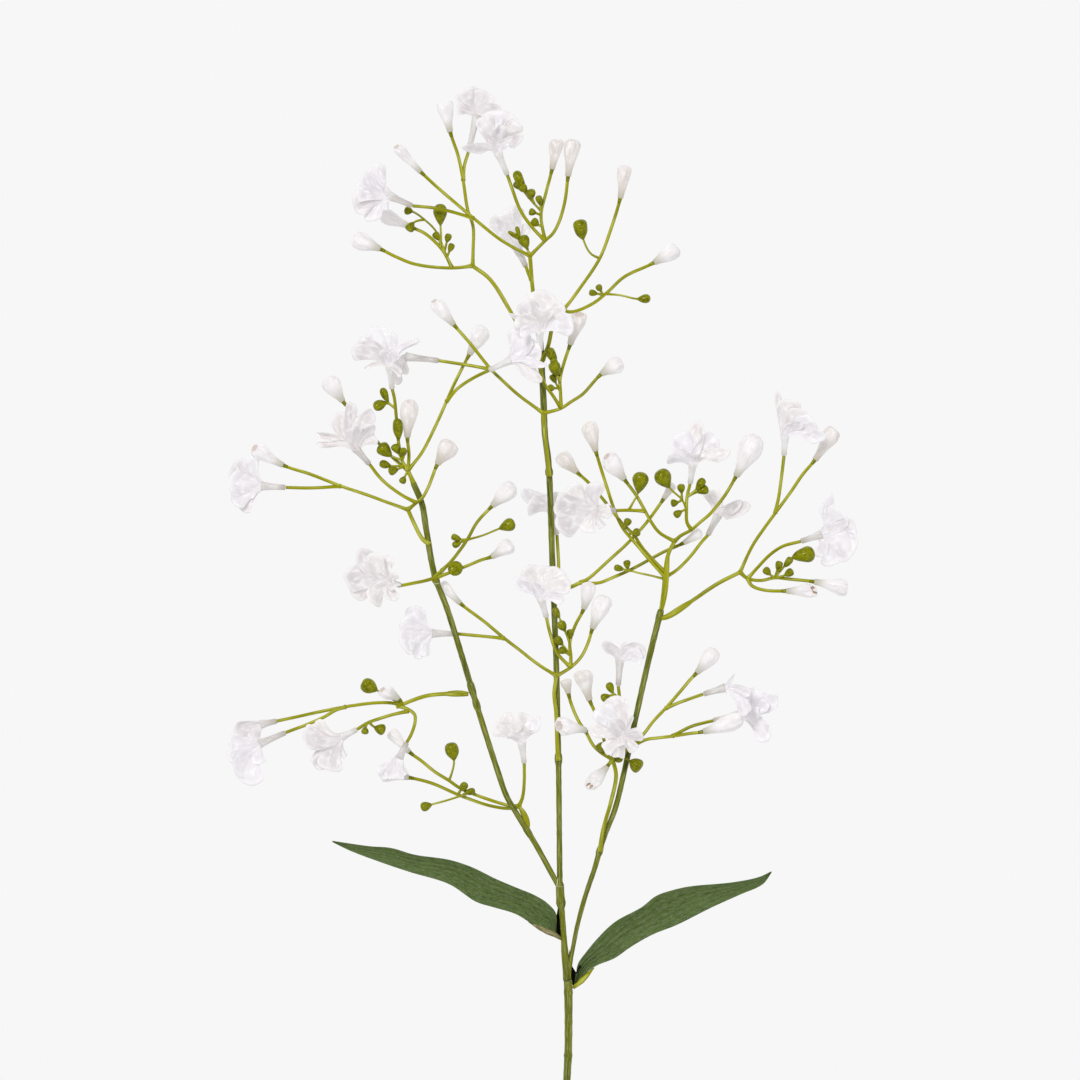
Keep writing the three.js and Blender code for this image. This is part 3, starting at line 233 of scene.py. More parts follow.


# Colours run from dark to light over the surface, and change to foot near the piece's own foot. A petal's
# foot, in its flat place, lies at its rim, so on petals the foot colour is a painted highlight that lightens
# the rim.
finishes = {
    "stemPlastic": {"scale": 1.3, "squeeze": (1, 1, 0.05), "relief": 0.00003, "roughness": (0.3, 0.45),
                    "dark": (0.045, 0.06, 0.0), "body": (0.16, 0.18, 0.0), "light": (0.41, 0.42, 0.15),
                    "shader": {"Specular IOR Level": 0.2}},
    "twigPlastic": {"scale": 0.5, "squeeze": (1, 1, 0.1), "detail": 1, "relief": 0.00001,
                    "roughness": (0.25, 0.4),
                    "dark": (0.22, 0.225, 0.0), "body": (0.325, 0.325, 0.002), "light": (0.53, 0.54, 0.09),
                    "shader": {"Specular IOR Level": 0.15}},
    "berryPlastic": {"scale": 0.5, "squeeze": (1, 1, 1), "relief": 0.00003, "roughness": (0.1, 0.22),
                     "dark": (0.105, 0.11, 0.0), "body": (0.218, 0.236, 0.0), "light": (0.35, 0.355, 0.01),
                     "shader": {"Specular IOR Level": 0.16}},
    "sleevePlastic": {"scale": 0.5, "squeeze": (1, 1, 0.2), "detail": 1, "relief": 0.00001,
                      "roughness": (0.4, 0.6),
                      "dark": (0.38, 0.35, 0.33), "body": (0.47, 0.45, 0.44), "light": (0.57, 0.57, 0.56),
                      "foot": (0.27, 0.235, 0.185), "footing": 4.5,
                      "shader": paintedGlow((1, 0.97, 0.96), 0.22)},
    "sleevePale": {"scale": 0.4, "squeeze": (1, 1, 0.2), "detail": 1, "relief": 0.00001,
                   "roughness": (0.4, 0.6),
                   "dark": (0.44, 0.42, 0.41), "body": (0.53, 0.52, 0.52), "light": (0.61, 0.61, 0.61),
                   "foot": (0.36, 0.34, 0.28), "footing": 4,
                   "shader": paintedGlow((1, 0.975, 0.97), 0.27)},
    # On petals the foot colour lies along the rim: a painted highlight that lightens the rim and its cut
    # edge.
    "petalWhite": {"scale": 0.2, "squeeze": (0.9, 0.6, 0), "detail": 1, "relief": 0.00002,
                   "roughness": (0.4, 0.55), "dark": (0.43, 0.405, 0.435), "body": (0.54, 0.525, 0.555),
                   "light": (0.645, 0.64, 0.655), "foot": (0.61, 0.605, 0.615), "footing": 3,
                   "shader": paintedGlow((0.995, 0.965, 0.985), 0.3)},
    "petalPink": {"scale": 0.22, "squeeze": (0.9, 0.6, 0), "detail": 1, "relief": 0.00002,
                  "roughness": (0.4, 0.55), "dark": (0.42, 0.385, 0.395), "body": (0.54, 0.51, 0.515),
                  "light": (0.645, 0.635, 0.63), "foot": (0.61, 0.595, 0.60), "footing": 2.5,
                  "shader": paintedGlow((1, 0.96, 0.965), 0.3)},
    # A darker copy of the petal cloth: painted shade for petals that should look as if they lie in shade.
    "petalShaded": {"scale": 0.2, "squeeze": (0.9, 0.6, 0), "detail": 1, "relief": 0.00002,
                   "roughness": (0.4, 0.55), "dark": (0.375, 0.34, 0.36), "body": (0.495, 0.465, 0.485),
                   "light": (0.61, 0.60, 0.61), "foot": (0.595, 0.58, 0.585), "footing": 2.5,
                   "shader": paintedGlow((1, 0.96, 0.97), 0.29)},
    "budCloth": {"scale": 0.35, "squeeze": (1, 1, 0.35), "detail": 1, "relief": 0.00001,
                 "roughness": (0.4, 0.58), "dark": (0.475, 0.445, 0.455), "body": (0.57, 0.55, 0.56),
                 "light": (0.635, 0.625, 0.635), "foot": (0.21, 0.20, 0.11), "footing": 6,
                 "shader": paintedGlow((1, 0.97, 0.975), 0.325)},
    "budWarm": {"scale": 0.3, "squeeze": (1, 1, 0.4), "detail": 1, "relief": 0.00001,
                "roughness": (0.4, 0.58), "dark": (0.43, 0.385, 0.36), "body": (0.55, 0.515, 0.50),
                "light": (0.635, 0.62, 0.61), "foot": (0.26, 0.22, 0.13), "footing": 7,
                "shader": paintedGlow((1, 0.965, 0.955), 0.3)},
    # The mouth's pinkish brown: partly the cloth's own blush, partly painted shade in the hollow mouth.
    "budBlushAndShade": {"scale": 0.7, "squeeze": (1, 1, 1), "detail": 2, "relief": 0.00002,
                 "roughness": (0.5, 0.7), "dark": (0.36, 0.28, 0.24), "body": (0.47, 0.40, 0.36),
                 "light": (0.57, 0.53, 0.49),
                 "shader": paintedGlow((1, 0.94, 0.92), 0.22)},
    "budHeart": {"scale": 0.9, "squeeze": (1, 1, 1), "relief": 0.00005, "roughness": (0.5, 0.7),
                 "dark": (0.20, 0.07, 0.02), "body": (0.50, 0.34, 0.22), "light": (0.78, 0.70, 0.60),
                 "shader": {"Specular IOR Level": 0.3}},
    "leafCloth": {"scale": 0.8, "squeeze": (0.3, 1.0, 1), "relief": 0.0001, "roughness": (0.5, 0.72),
                  "dark": (0.045, 0.085, 0.010), "body": (0.095, 0.145, 0.032), "light": (0.18, 0.215, 0.13),
                  "shader": {"Specular IOR Level": 0.2, "Sheen Weight": 0.1, "Sheen Roughness": 0.5}},
    "leafFoot": {"scale": 1.2, "squeeze": (1, 1, 0.12), "relief": 0.00005, "roughness": (0.45, 0.6),
                 "dark": (0.10, 0.085, 0.022), "body": (0.23, 0.20, 0.075), "light": (0.48, 0.44, 0.27),
                 "shader": {"Specular IOR Level": 0.3}},
    # A near-black sheet set where shade falls between the leaf feet and the stems: painted shade.
    "paintedShadeCloth": {"scale": 1, "squeeze": (1, 1, 1), "relief": 0.00005, "roughness": (0.8, 0.95),
                   "dark": (0.0006, 0.0008, 0.0002), "body": (0.001, 0.0015, 0.0005),
                   "light": (0.006, 0.008, 0.003), "shader": {"Specular IOR Level": 0.05}},
    "collarPlastic": {"scale": 1, "squeeze": (1, 1, 0.3), "relief": 0.00003, "roughness": (0.3, 0.4),
                      "dark": (0.30, 0.31, 0.08), "body": (0.55, 0.56, 0.30), "light": (0.85, 0.86, 0.70),
                      "shader": {"Specular IOR Level": 0.4}},
}


# Lines and turned parts.

stepsPerSpan = 7  # steps of a line between two of its points
mergeDistance = 0.0005  # mm


def smoothLine(points):
    # A centripetal curve through the points, as [place, heading, distance run] at each step.
    knots = [Vector(point) for point in points]
    first, last = 2 * knots[0] - knots[1], 2 * knots[-1] - knots[-2]
    places = []
    for before, start, end, after in zip([first, *knots], knots, knots[1:], [*knots[2:], last]):
        a, b, c = (math.sqrt((two - one).length)
                   for one, two in ((before, start), (start, end), (end, after)))
        leave = b * ((start - before) / a - (end - before) / (a + b) + (end - start) / b)
        arrive = b * ((end - start) / b - (after - start) / (b + c) + (after - end) / c)
        places += interpolate_bezier(start, start + leave / 3, end - arrive / 3, end,
                                     stepsPerSpan + 1)[:-1]
    places.append(knots[-1])
    headings = [(after - before).normalized()
                for before, after in zip([places[0], *places[:-1]], [*places[1:], places[-1]])]
    runs = [0]
    for before, after in zip(places, places[1:]):
        runs.append(runs[-1] + (after - before).length)
    return {"places": places, "headings": headings, "runs": runs}


def alongLine(line, distance):
    runs = line["runs"]
    i = min(max(bisect(runs, distance) - 1, 0), len(runs) - 2)
    share = (distance - runs[i]) / (runs[i + 1] - runs[i])
    inside = min(max(share, 0), 1)
    heading = line["headings"][i].lerp(line["headings"][i + 1], inside).normalized()
    past = (share - inside) * (runs[i + 1] - runs[i])
    return line["places"][i].lerp(line["places"][i + 1], inside) + heading * past, heading


def turned(outline, sides):
    # A closed shape turned about z from rows of (radius, height).
    mesh = bmesh.new()
    dots = [mesh.verts.new((radius, 0, height)) for radius, height in outline]
    for low, high in zip(dots, dots[1:]):
        mesh.edges.new((low, high))
    bmesh.ops.spin(mesh, geom=mesh.verts[:] + mesh.edges[:], cent=(0, 0, 0), axis=(0, 0, 1),
                   angle=math.tau, steps=sides, use_merge=True)
    bmesh.ops.remove_doubles(mesh, verts=mesh.verts[:], dist=mergeDistance)
    bmesh.ops.recalc_face_normals(mesh, faces=mesh.faces[:])
    return mesh


def keepFlat(mesh, offset=0):
    layer = mesh.verts.layers.float_vector.new("flat")
    for vert in mesh.verts:
        vert[layer] = vert.co + Vector((offset, offset, 0))


def bendAlong(mesh, line):
    # Height becomes distance along the line.
    for vert in mesh.verts:
        place, heading = alongLine(line, vert.co.z)
        raised = (Vector((0, 0, 1)) - heading * heading.z).normalized()
        vert.co = place + heading.cross(raised) * vert.co.x + raised * vert.co.y


def addPart(piece, part, material=0):
    for face in part.faces:
        face.material_index += material
        face.smooth = True
    spare = bpy.data.meshes.new("spare")
    part.to_mesh(spare)
    part.free()
    piece.from_mesh(spare)
    bpy.data.meshes.remove(spare)


def finishPiece(name, piece, materials, node):
    piece.transform(toFrame)
    data = bpy.data.meshes.new(name)
    piece.to_mesh(data)
    piece.free()
    for material in materials:
        data.materials.append(material)
    made = bpy.data.objects.new(name, data)
    bpy.context.collection.objects.link(made)
    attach(made, "root")
    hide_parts(node)
    return made


# Stems. Radii are rows of (distance along the stem, radius), rings of (distance, length, radius). Past
# is how far the stem runs on beyond its last point.
stems = {
    "lower_stem": {
        "via": [[-4.4, -238, -21.2], [-4, -200, -17.4], [-2.8, -140, -11.4], [-0.8, -80, -5.6],
                [0.8, -37.6, -2.2], [1.3, -27, -1.4], [1.4, -8.4, -0.3], [1.3, -1, 0]],
        "radii": [(0, 1.6), (200, 1.5), (232, 1.62), (239, 1.75)],
        "rings": [(210.7, 1.6, 1.75), (236.4, 1.4, 1.95)],
        "past": 2.6,
    },
    "centre_stem": {
        "via": [[0.7, 1.8, 0], [0.6, 4, 0], [0.4, 7.6, 0], [-0.2, 14.8, 0], [-0.6, 21, 0],
                [-1.2, 28.6, 0], [-1.9, 36, 0], [-2.1, 44, 0], [-2.2, 53, 0], [-2.6, 89.6, 0],
                [-3.4, 125, 0], [-5, 167.8, 0], [-6.6, 208.8, 0], [-8, 220, 0], [-8.6, 234, 0],
                [-10, 258, 0]],
        "radii": [(0, 1.5), (12, 1.45), (18, 1.15), (28, 1.2), (60, 1.1), (258, 1.32)],
        "rings": [(34.6, 10, 1.75), (31.2, 2.6, 1.95), (88.6, 4.4, 1.6), (203.4, 3.4, 1.6)],
        "collars": [[[-2.7, 43, 1], [-3.5, 40.6, 1.1], [-2.9, 38.7, 1.7], [-1.6, 38.5, 1.9],
                     [-0.7, 39.6, 1.5]]],
        "past": 0.4,
    },
    "left_branch": {
        "via": [[-2.4, 39.4, 0], [-3.9, 42, 0.2], [-11.6, 56, 0], [-18.8, 67.7, 0], [-23.4, 75.6, 0],
                [-26.8, 85.2, 0], [-35.4, 112.2, 0], [-41.3, 131.8, 0], [-47.5, 151.5, 0],
                [-52, 163.3, 0], [-55.5, 182.2, 0], [-57.2, 192.4, 0], [-60.4, 200.2, 0]],
        "radii": [(0, 1.1), (170, 1.25)],
        "rings": [(25.2, 4, 1.4), (80.6, 4, 1.5), (87.2, 5, 1.6), (132.8, 3.8, 1.5)],
        "collars": [[[-52.6, 161.6, 1.2], [-51.6, 160.4, 1.5], [-50.2, 160.6, 1.2]]],
        "past": 0.5,
    },
    "right_branch": {
        "via": [[1.7, 1.8, 0], [1.75, 4, 0], [2, 7.6, 0], [2.5, 11.4, 0], [3.2, 15, 0],
                [4.9, 23.6, 0], [7.9, 34.8, 0], [11.9, 46.8, 0], [14.2, 54.8, 0], [16.5, 61.5, 0],
                [19.9, 70, 0], [23.8, 85.8, 0], [28.6, 108.3, 0], [33.9, 131.8, 0], [38.3, 149.6, 0]],
        "radii": [(0, 0.85), (20, 0.9), (50, 1.05), (152, 1.25)],
        "rings": [(53.4, 3.4, 1.4), (150.6, 3.4, 1.5)],
        "past": 0.5,
    },
}
stemShape = {"step": 1.2, "sides": 20, "ringEdge": 0.4, "waviness": 0.03, "waves": 0.9, "waveShift": 0.31}
collarShape = {"radius": 0.24, "fullness": 1.2, "tip": 0.3, "sides": 8}


def radiusAt(rows, distance):
    for (start, first), (end, last) in zip(rows, rows[1:]):
        if distance < end:
            return first + (last - first) * (distance - start) / (end - start)
    return rows[-1][1]


def stemOutline(spec, length):
    end = length + spec["past"]
    steps = round(end / stemShape["step"])
    outline = [(0, 0)]
    for i in range(steps + 1):
        distance = end * i / steps
        radius = radiusAt(spec["radii"], distance)
        for middle, width, ringRadius in spec["rings"]:
            near = max(0, 1 - (2 * abs(distance - middle) / width) ** 2)
            radius = max(radius, radius + (ringRadius - radius) * near ** stemShape["ringEdge"])
        shift = 2 * math.sin(distance * stemShape["waveShift"])
        radius *= 1 + stemShape["waviness"] * math.sin(distance * stemShape["waves"] + shift)
        outline.append((radius, distance))
    outline.append((0, end))
    return outline


def makeCollar(points):
    # The pale lip where one stem leaves another.
    line, radius, tip = smoothLine(points), collarShape["radius"], collarShape["tip"]
    length = line["runs"][-1]
    outline = [(0, 0), (radius, tip), (radius * collarShape["fullness"], length / 2),
               (radius, length - tip), (0, length)]
    collar = turned(outline, collarShape["sides"])
    keepFlat(collar)
    bendAlong(collar, line)
    return collar


def makeStems():
    for name, spec in stems.items():
        line = smoothLine(spec["via"])
        part = turned(stemOutline(spec, line["runs"][-1]), stemShape["sides"])
        keepFlat(part)
        bendAlong(part, line)
        piece = bmesh.new()
        addPart(piece, part)
        for points in spec.get("collars", []):
            addPart(piece, makeCollar(points), 1)
        finishPiece(name + "_moulded", piece, [materials["stemPlastic"], materials["collarPlastic"]],
                    name)
    print("stems made")


# Sprays of twigs, berries, buds and blooms. Each kind of part has a twig of its own radius. Past is how
# far a stalk runs into what it carries, and bite how far a twig runs into its bud or berry.
twigShape = {"step": 1.1, "sides": 12, "stalk": 0.8, "bud": 0.66, "bloom": 0.66, "berry": 0.42,
             "rootFlare": 0.5, "flareLength": 1.8, "plugRadius": 1.3, "plugEdge": 0.7,
             "past": 1.2, "bite": 0.3}
capShape = {"length": 2.4, "outline": [(0.66, 0), (0.74, 0.25), (0.84, 0.7), (0.88, 1), (0.7, 1.1)]}
berryShape = {"sides": 16, "bumps": 0.05, "grown": 1.1, "stalkShare": 0.8,
              "outline": [(0.08, 0.12), (0.18, 0.38), (0.3, 0.64), (0.42, 0.83), (0.55, 0.95), (0.68, 1),
                          (0.8, 0.95), (0.9, 0.79), (0.965, 0.52), (0.99, 0.25), (0.985, 0)]}
budShape = {"sides": 32, "footRadius": 0.85, "footGrowth": 0.12, "folds": 7, "foldDepth": 0.09,
            "foldRange": (0.6, 1.4), "inward": 0.4, "twist": 1.4, "slant": 0.2, "openSlant": 0.3,
            "lean": (-2.2, -0.9), "crumple": 0.16, "grain": 0.6, "slim": 0.93, "smooth": 0.35,
            "opening": 0.55, "lip": 0.25, "lipRadius": 0.85, "spotEdge": -0.25,
            "round": {"outline": [(0.08, 0.04), (0.18, 0.16), (0.3, 0.4), (0.42, 0.66), (0.54, 0.86),
                                  (0.64, 0.97), (0.72, 1)],
                      "tip": [(0.83, 0.96), (0.91, 0.84), (0.965, 0.66), (1, 0.42)],
                      "mouth": [(0.985, 0.31), (0.97, 0.2), (0.96, 0.09), (0.957, 0)]},
            "flared": {"outline": [(0.08, 0.02), (0.2, 0.1), (0.34, 0.28), (0.47, 0.52), (0.58, 0.74),
                                   (0.68, 0.9), (0.76, 0.98), (0.82, 1)],
                       "tip": [(0.89, 0.97), (0.945, 0.87), (0.98, 0.73), (1, 0.54)],
                       "mouth": [(0.99, 0.4), (0.965, 0.26), (0.95, 0.12), (0.945, 0)]}}
bloomShape = {"gap": 0.3, "sunk": 0.7, "rootWidth": 1.5, "spread": 30, "twist": 24, "bow": 0.16,
              "cleft": (0.7, 0.88), "roundness": 0.4, "notch": 0.03, "notches": 5, "ragged": 0.01,
              "ruffle": 0.8, "ruffles": (0.5, 1.3), "waves": (2.4, 4.6), "waveGrowth": 1.6,
              "pleat": 0.1, "pleats": (3, 6), "keel": 1.7, "keelSide": (-0.4, 0.4),
              "crumple": 0.34, "grain": 0.085, "thickness": 0.12, "across": 44, "out": 16}
# Rows of radius and height: in millimetres at the foot, in shares of the tube up its side, and in
# millimetres above the tube at its rim.
sleeveShape = {"sides": 24, "foot": [(0, 0), (0.99, 0), (1.1, 0.3)],
               "side": [(1.15, 0.3), (1.35, 0.6), (1.7, 0.86), (1.9, 1)],
               "rim": [(1.7, 0.05), (0, -0.4)]}

budCloths = ("budCloth", "budBlushAndShade", "budHeart", "budWarm")
petalCloths = ("petalWhite", "petalPink", "petalShaded")
# Each petal draws its cloth at random from its bloom's tint. The darkest petal cloth paints shade, so tints
# that draw on it show some petals as shaded, and the tint of that cloth with pink paints whole blooms as
# shaded.
bloomTints = {"mixed": {"petals": petalCloths, "sleeve": "sleevePale"},
              "pink": {"petals": ("petalPink", "petalPink", "petalWhite"), "sleeve": "sleevePale"},
              "cool": {"petals": ("petalWhite", "petalWhite", "petalShaded"), "sleeve": "sleevePlastic"},
              "white": {"petals": ("petalWhite",), "sleeve": "sleevePlastic"},
              "shadedTint": {"petals": ("petalShaded", "petalPink"), "sleeve": "sleevePlastic"}}


# A part's line runs through via. Plug is the length of a stalk's swollen root.
def stalk(*via, plug=0):
    return {"kind": "stalk", "via": via, "plug": plug}


# Heart 1 tints a bud's mouth with a pinkish brown that is partly the cloth's own blush and partly painted
# shade in the hollow of the mouth, and heart 2 puts two brown spots in it. A warm bud's cloth is browner.
def bud(width, *via, top="flared", heart=0, warm=0):
    return {"kind": "bud", "width": width, "via": via, "top": top, "heart": heart, "warm": warm}


def berry(width, *via):
    return {"kind": "berry", "width": width, "via": via}


def bloom(name, aim, tube, *via, petals, tint):
    # Its sleeve stands along aim. Each row of petals says where the tip of one stands from the throat,
    # in x, y and z, its share of the usual width, and how pointed it is.
    return {"kind": "bloom", "name": name, "aim": Vector(aim).normalized(), "tube": tube, "via": via,
            "petals": petals, "tint": tint}


sprays = {
    "crown_spray": [
        stalk([-10.1, 258.4, 0], [-10.4, 261.5, 0], [-12.8, 277.2, 0.4], [-14, 291.6, 1]),
        bud(4.8, [-14, 291.6, 1], [-20.4, 294.8, 2], [-26.4, 298.4, 3], [-36.4, 306.4, 4],
          [-49.6, 317.6, 5], [-57.6, 324.9, 6], [-67.2, 334.8, 8], heart=1),
        bloom("crown_bloom_left", [-0.9, 0.38, 0.22], 10, [-36.4, 306.4, 4], [-46.3, 309.3, 5],
              [-52.9, 310.6, 5.6], [-60.9, 311.3, 6.2], petals=[[-7.3, 12.7, 0, 0.7],
              [-11.3, 8.7, 5, 0.65], [-14.1, 3.1, 4, 0.75], [-15.3, -3.3, 3, 0.75],
              [-10.1, -9.7, 1, 0.75, 0.4], [-3.3, 6.3, 1, 0.4], [-2.1, -6.1, 3, 0.4]], tint="cool"),
        bloom("crown_bloom_top", [-0.36, 0.84, 0.4], 10.5, [-8, 297.6, 1.6], [-13.2, 303, 3.4],
              [-17.8, 309.6, 4.6], [-21.2, 318.4, 5.4], [-23, 323.6, 6],
              petals=[[-15, 2.3, 3, 0.45, 0.8], [-6.2, 15.1, 0, 0.6], [-0.6, 17.5, -2, 0.65],
              [4.6, 16.7, -1, 0.65], [7.8, 12.7, 1, 0.6], [10.2, 7.1, 3, 0.6, 0.6], [4.6, 3.5, 4, 0.5],
              [0.6, 11.1, 6, 0.5]], tint="mixed"),
        bud(6.2, [-8, 297.6, 1.6], [-9.6, 308, 1], [-7.6, 316.9, 1], [-5.2, 326.2, 1.5],
          [-3.2, 338, 2.5], warm=1),
        bud(7, [-14, 291.6, 1], [-8, 297.6, 1.6], [-4.8, 300.6, 2], [-2.2, 305.6, 2.4], [0, 313.6, 3.2],
          [1.2, 323.2, 4], [3.2, 337.6, 5], warm=1),
        berry(2.5, [-9.6, 308, 1], [-9.8, 311.6, 2], [-10.8, 315.6, 3.4]),
        berry(2.8, [-9.6, 308, 1], [-11.4, 308.6, 1.4], [-14.4, 309.4, 2]),
        berry(3.4, [-8.8, 303.4, 1.2], [-10.4, 303.8, 1], [-13.4, 306, 1]),
        berry(3.6, [-9.6, 309.6, 1], [-13.4, 313.6, 1.4], [-16, 317, 1.6], [-19.8, 325.6, 1.2]),
        berry(3.6, [-12.4, 312.6, 1.3], [-13, 314.4, 2.4], [-14, 318, 4]),
        berry(2.8, [-14.2, 314.6, 1.4], [-17.2, 318.2, 0.6], [-20.4, 321, 0]),
        berry(3.2, [-15, 315.6, 1.5], [-15.4, 316.8, 2.6], [-17.6, 319.6, 3.6]),
        berry(4, [-14, 291.6, 1], [-15, 294.2, 2.4], [-17.2, 299.6, 4.4]),
        berry(1.8, [-15.4, 295.6, 3], [-18, 299, 4.4], [-19.4, 303.2, 4.4]),
        berry(1.8, [-15, 294.2, 2.4], [-16.4, 297, 4], [-22.8, 301.2, 4.6]),
        bloom("crown_bloom_back", [-0.4, 0.86, -0.3], 7.5, [-13.4, 282, 0.4], [-14.6, 284.6, -1.6],
              [-15.6, 287.4, -3.2], petals=[[-9.5, 14.9, 1, 0.65], [-7.9, 7.7, 2, 0.5],
              [-2.3, 18.5, -1, 0.5], [2.1, 11.7, -3, 0.65]], tint="white"),
    ],
    "crown_left_spray": [
        stalk([-9.4, 246.6, -0.6], [-11.4, 248.6, -2], [-15, 257, -2.4], [-21.2, 268.4, -2.8],
          [-30, 282.4, -3.4], [-37, 287.8, -3.6]),
        bud(7.2, [-37, 287.8, -3.6], [-36.8, 295.2, -4.6], [-36.8, 303.6, -5.4], [-39, 310.4, -6],
          [-40.8, 322, -6.4], [-42.8, 332, -6.4], [-46, 341.6, -6.2], [-48.4, 354, -6]),
        bloom("crown_left_bloom", [0.22, 0.96, -0.1], 15.3, [-40.8, 322, -6.4], [-40.4, 328, -7],
              [-38.8, 333.4, -7.6], petals=[[-8.1, 4.6, 2, 0.9], [-4.1, 11.8, 1, 1.05],
              [3.5, 10.6, -1, 1.05], [9.9, 4.2, 2, 0.8, 0.4]], tint="shadedTint"),
        bud(7.8, [-37, 287.8, -3.6], [-45.2, 287, -3.8], [-59.6, 288.4, -4], [-68, 291.6, -4],
          [-74, 294.6, -3.8], [-84.8, 298.8, -3.4], top="round"),
        bud(6.6, [-45.2, 287, -3.8], [-48.4, 293.2, -4.4], [-51, 296.4, -4.8], [-56, 300.8, -5],
          [-61.6, 303.4, -5], [-73.6, 308.4, -5.4]),
        berry(3, [-47.2, 291, -4.2], [-51.6, 301.6, -3.4], [-56.4, 306.4, -2.8], [-60.8, 309.4, -2.2],
          [-64.4, 310, -2]),
        berry(3.6, [-56.4, 306.4, -2.8], [-60.4, 305.2, -2], [-62.8, 301.6, -1.4]),
        berry(5, [-49.8, 294.8, -4.6], [-49.6, 299, -2.6], [-49.8, 303.6, -1.4], [-50, 312.6, -1]),
        berry(2.8, [-49.4, 294.4, -4.6], [-50.4, 298, -5.6], [-52.4, 301.4, -6]),
        berry(2.6, [-48.4, 293.2, -4.4], [-47.4, 297.2, -4], [-46.4, 300.8, -3.6]),
        berry(2.6, [-47.4, 291.2, -4.2], [-46.4, 293.4, -3.4], [-45, 296.8, -3]),
    ],
    "crown_right_spray": [
        stalk([-9, 250, 0.6], [-6.6, 256, 1.6], [-5, 263, 2], [-1.2, 269.6, 2.4]),
        bud(6, [-1.2, 269.6, 2.4], [0.4, 271.2, 3], [6.4, 279.2, 3.4], [13.8, 290.4, 4],
          [18.4, 302.4, 4.4], [22, 314.4, 5], [24, 327.2, 6], warm=1),
        berry(5.4, [13.8, 290.4, 4], [10.2, 292.4, 4.4], [7.4, 297.6, 4.6], [5.6, 306, 4.6]),
        bud(7.4, [-1.2, 269.6, 2.4], [3.2, 269.2, 2.6], [11.1, 272.5, 2], [17.1, 277.2, 1],
          [23.6, 283.2, 0], [35.6, 289, -1.6], [45.2, 295.2, -3], top="round"),
        berry(2.6, [15.2, 276, 1.4], [14.4, 277.4, 2.6], [13, 279.8, 4]),
        berry(2.6, [15.2, 276, 1.4], [13, 276.4, 2.2], [9.6, 277, 3]),
        berry(3.2, [16.4, 276.4, 1.2], [22.4, 275.8, 1.4], [28.6, 274.4, 1.6], [34.2, 274.6, 1.6]),
    ],
    "upper_spray": [
        stalk([-6.4, 203.6, 1], [-6.6, 207, 2.6], [-7.8, 218, 3], [-8.6, 228.6, 3]),
        bud(6.2, [-8.6, 228.6, 3], [-18.2, 235.6, 3.4], [-24, 240.8, 3], [-29.6, 246.2, 2.4],
          [-38.1, 256.8, 1.6], [-44.4, 264, 1.2], [-52.4, 273.6, 1], top="round", heart=1),
        bloom("upper_bloom_left", [-0.96, 0.12, -0.2], 13.5, [-29.6, 246.2, 2.4], [-38, 247.8, 0.4],
              [-50.4, 249.8, -2], petals=[[-3.7, -2.2, 1, 0.6], [-5.3, -11, 0, 0.5],
              [-1.3, -7, 2, 0.7]], tint="shadedTint"),
        bloom("upper_bloom_front", [-0.04, 0.84, 0.54], 9.3, [-1.6, 230.6, 3.4], [-4.8, 235.6, 4.6],
              [-8.4, 240.8, 6.4], [-9.6, 246.4, 8.6], [-9.8, 253.4, 10.4], petals=[[-9.4, 4.7, 4, 0.9],
              [-6.2, 12.7, 1, 0.8], [0.6, 16.7, 0, 0.85], [8.2, 12.3, 1, 0.8], [13.4, 3.5, 4, 0.8],
              [-12.6, 7.1, 0, 0.18, 0.6], [-8.2, -0.9, 5, 0.5], [2.6, 8.7, 7, 0.6]], tint="mixed"),
        bud(7.6, [-1.6, 230.6, 3.4], [-1.8, 237.2, 3.2], [-2, 242.2, 3.2], [-0.4, 248.8, 3.4],
          [2, 256, 3.8], [5.6, 268, 5], heart=1, warm=1),
        bud(7.4, [-8.6, 228.6, 3], [-1.6, 230.6, 3.4], [2.4, 233.2, 3.6], [7, 236.2, 3.4],
          [14.4, 244.2, 3], [22.8, 249.2, 2.6], top="round"),
        berry(4.6, [-2, 240.6, 3.2], [-3, 243.4, 4.8], [-4.8, 249, 6.4]),
        berry(3.8, [-2, 242.2, 3.2], [-3.6, 248.4, 3], [-6.9, 254.6, 4]),
        berry(2.6, [-2, 243.6, 3.2], [-2.6, 246.6, 4.6], [-5.4, 250.2, 6]),
        berry(2.8, [-2, 238.8, 3.2], [-4, 238.6, 4], [-6.8, 238.8, 5]),
        berry(2.6, [-1.8, 237.2, 3.2], [-3.6, 240.6, 2.8], [-5.4, 244.2, 2.8]),
    ],
    "middle_spray": [
        stalk([-2.6, 90, 1], [-3, 94, 2.2], [-3.6, 109.4, 2.6], [-4.3, 116.7, 3.2], [-3.4, 123.7, 3.6]),
        bud(4.8, [-3.4, 123.7, 3.6], [-11, 128.5, 3], [-18.3, 134.1, 0.6], [-24.2, 138.6, -1.8],
          [-32.3, 145.3, -4], [-41.9, 152.6, -5], [-49.6, 160.8, -5.6]),
        bloom("middle_bloom_left", [-0.97, 0.02, 0.1], 10, [-24.2, 138.6, -1.8], [-32.3, 139.4, -3.6],
              [-43.2, 140.4, -4.6], petals=[[-10.5, 10.6, 2, 0.85, 0.5], [-13.3, 4.6, 2, 0.8],
              [-13.3, -4.2, 4, 0.85], [-8.5, -8.6, 4, 0.7], [-4.9, -9.4, 2, 0.6]], tint="white"),
        bloom("middle_bloom_front", [-0.24, 0.86, 0.44], 9, [2.2, 127.1, 4.4], [-3.2, 133, 4.8],
              [-6, 140.8, 5.2], [-7.4, 147, 5.8], petals=[[-10.9, 8.8, 4, 0.65, 0.4],
              [-5.3, 13.6, 0, 0.85], [1.5, 13.6, -1, 0.85], [7.9, 12.4, 0, 0.85], [11.5, 7.6, 3, 0.75],
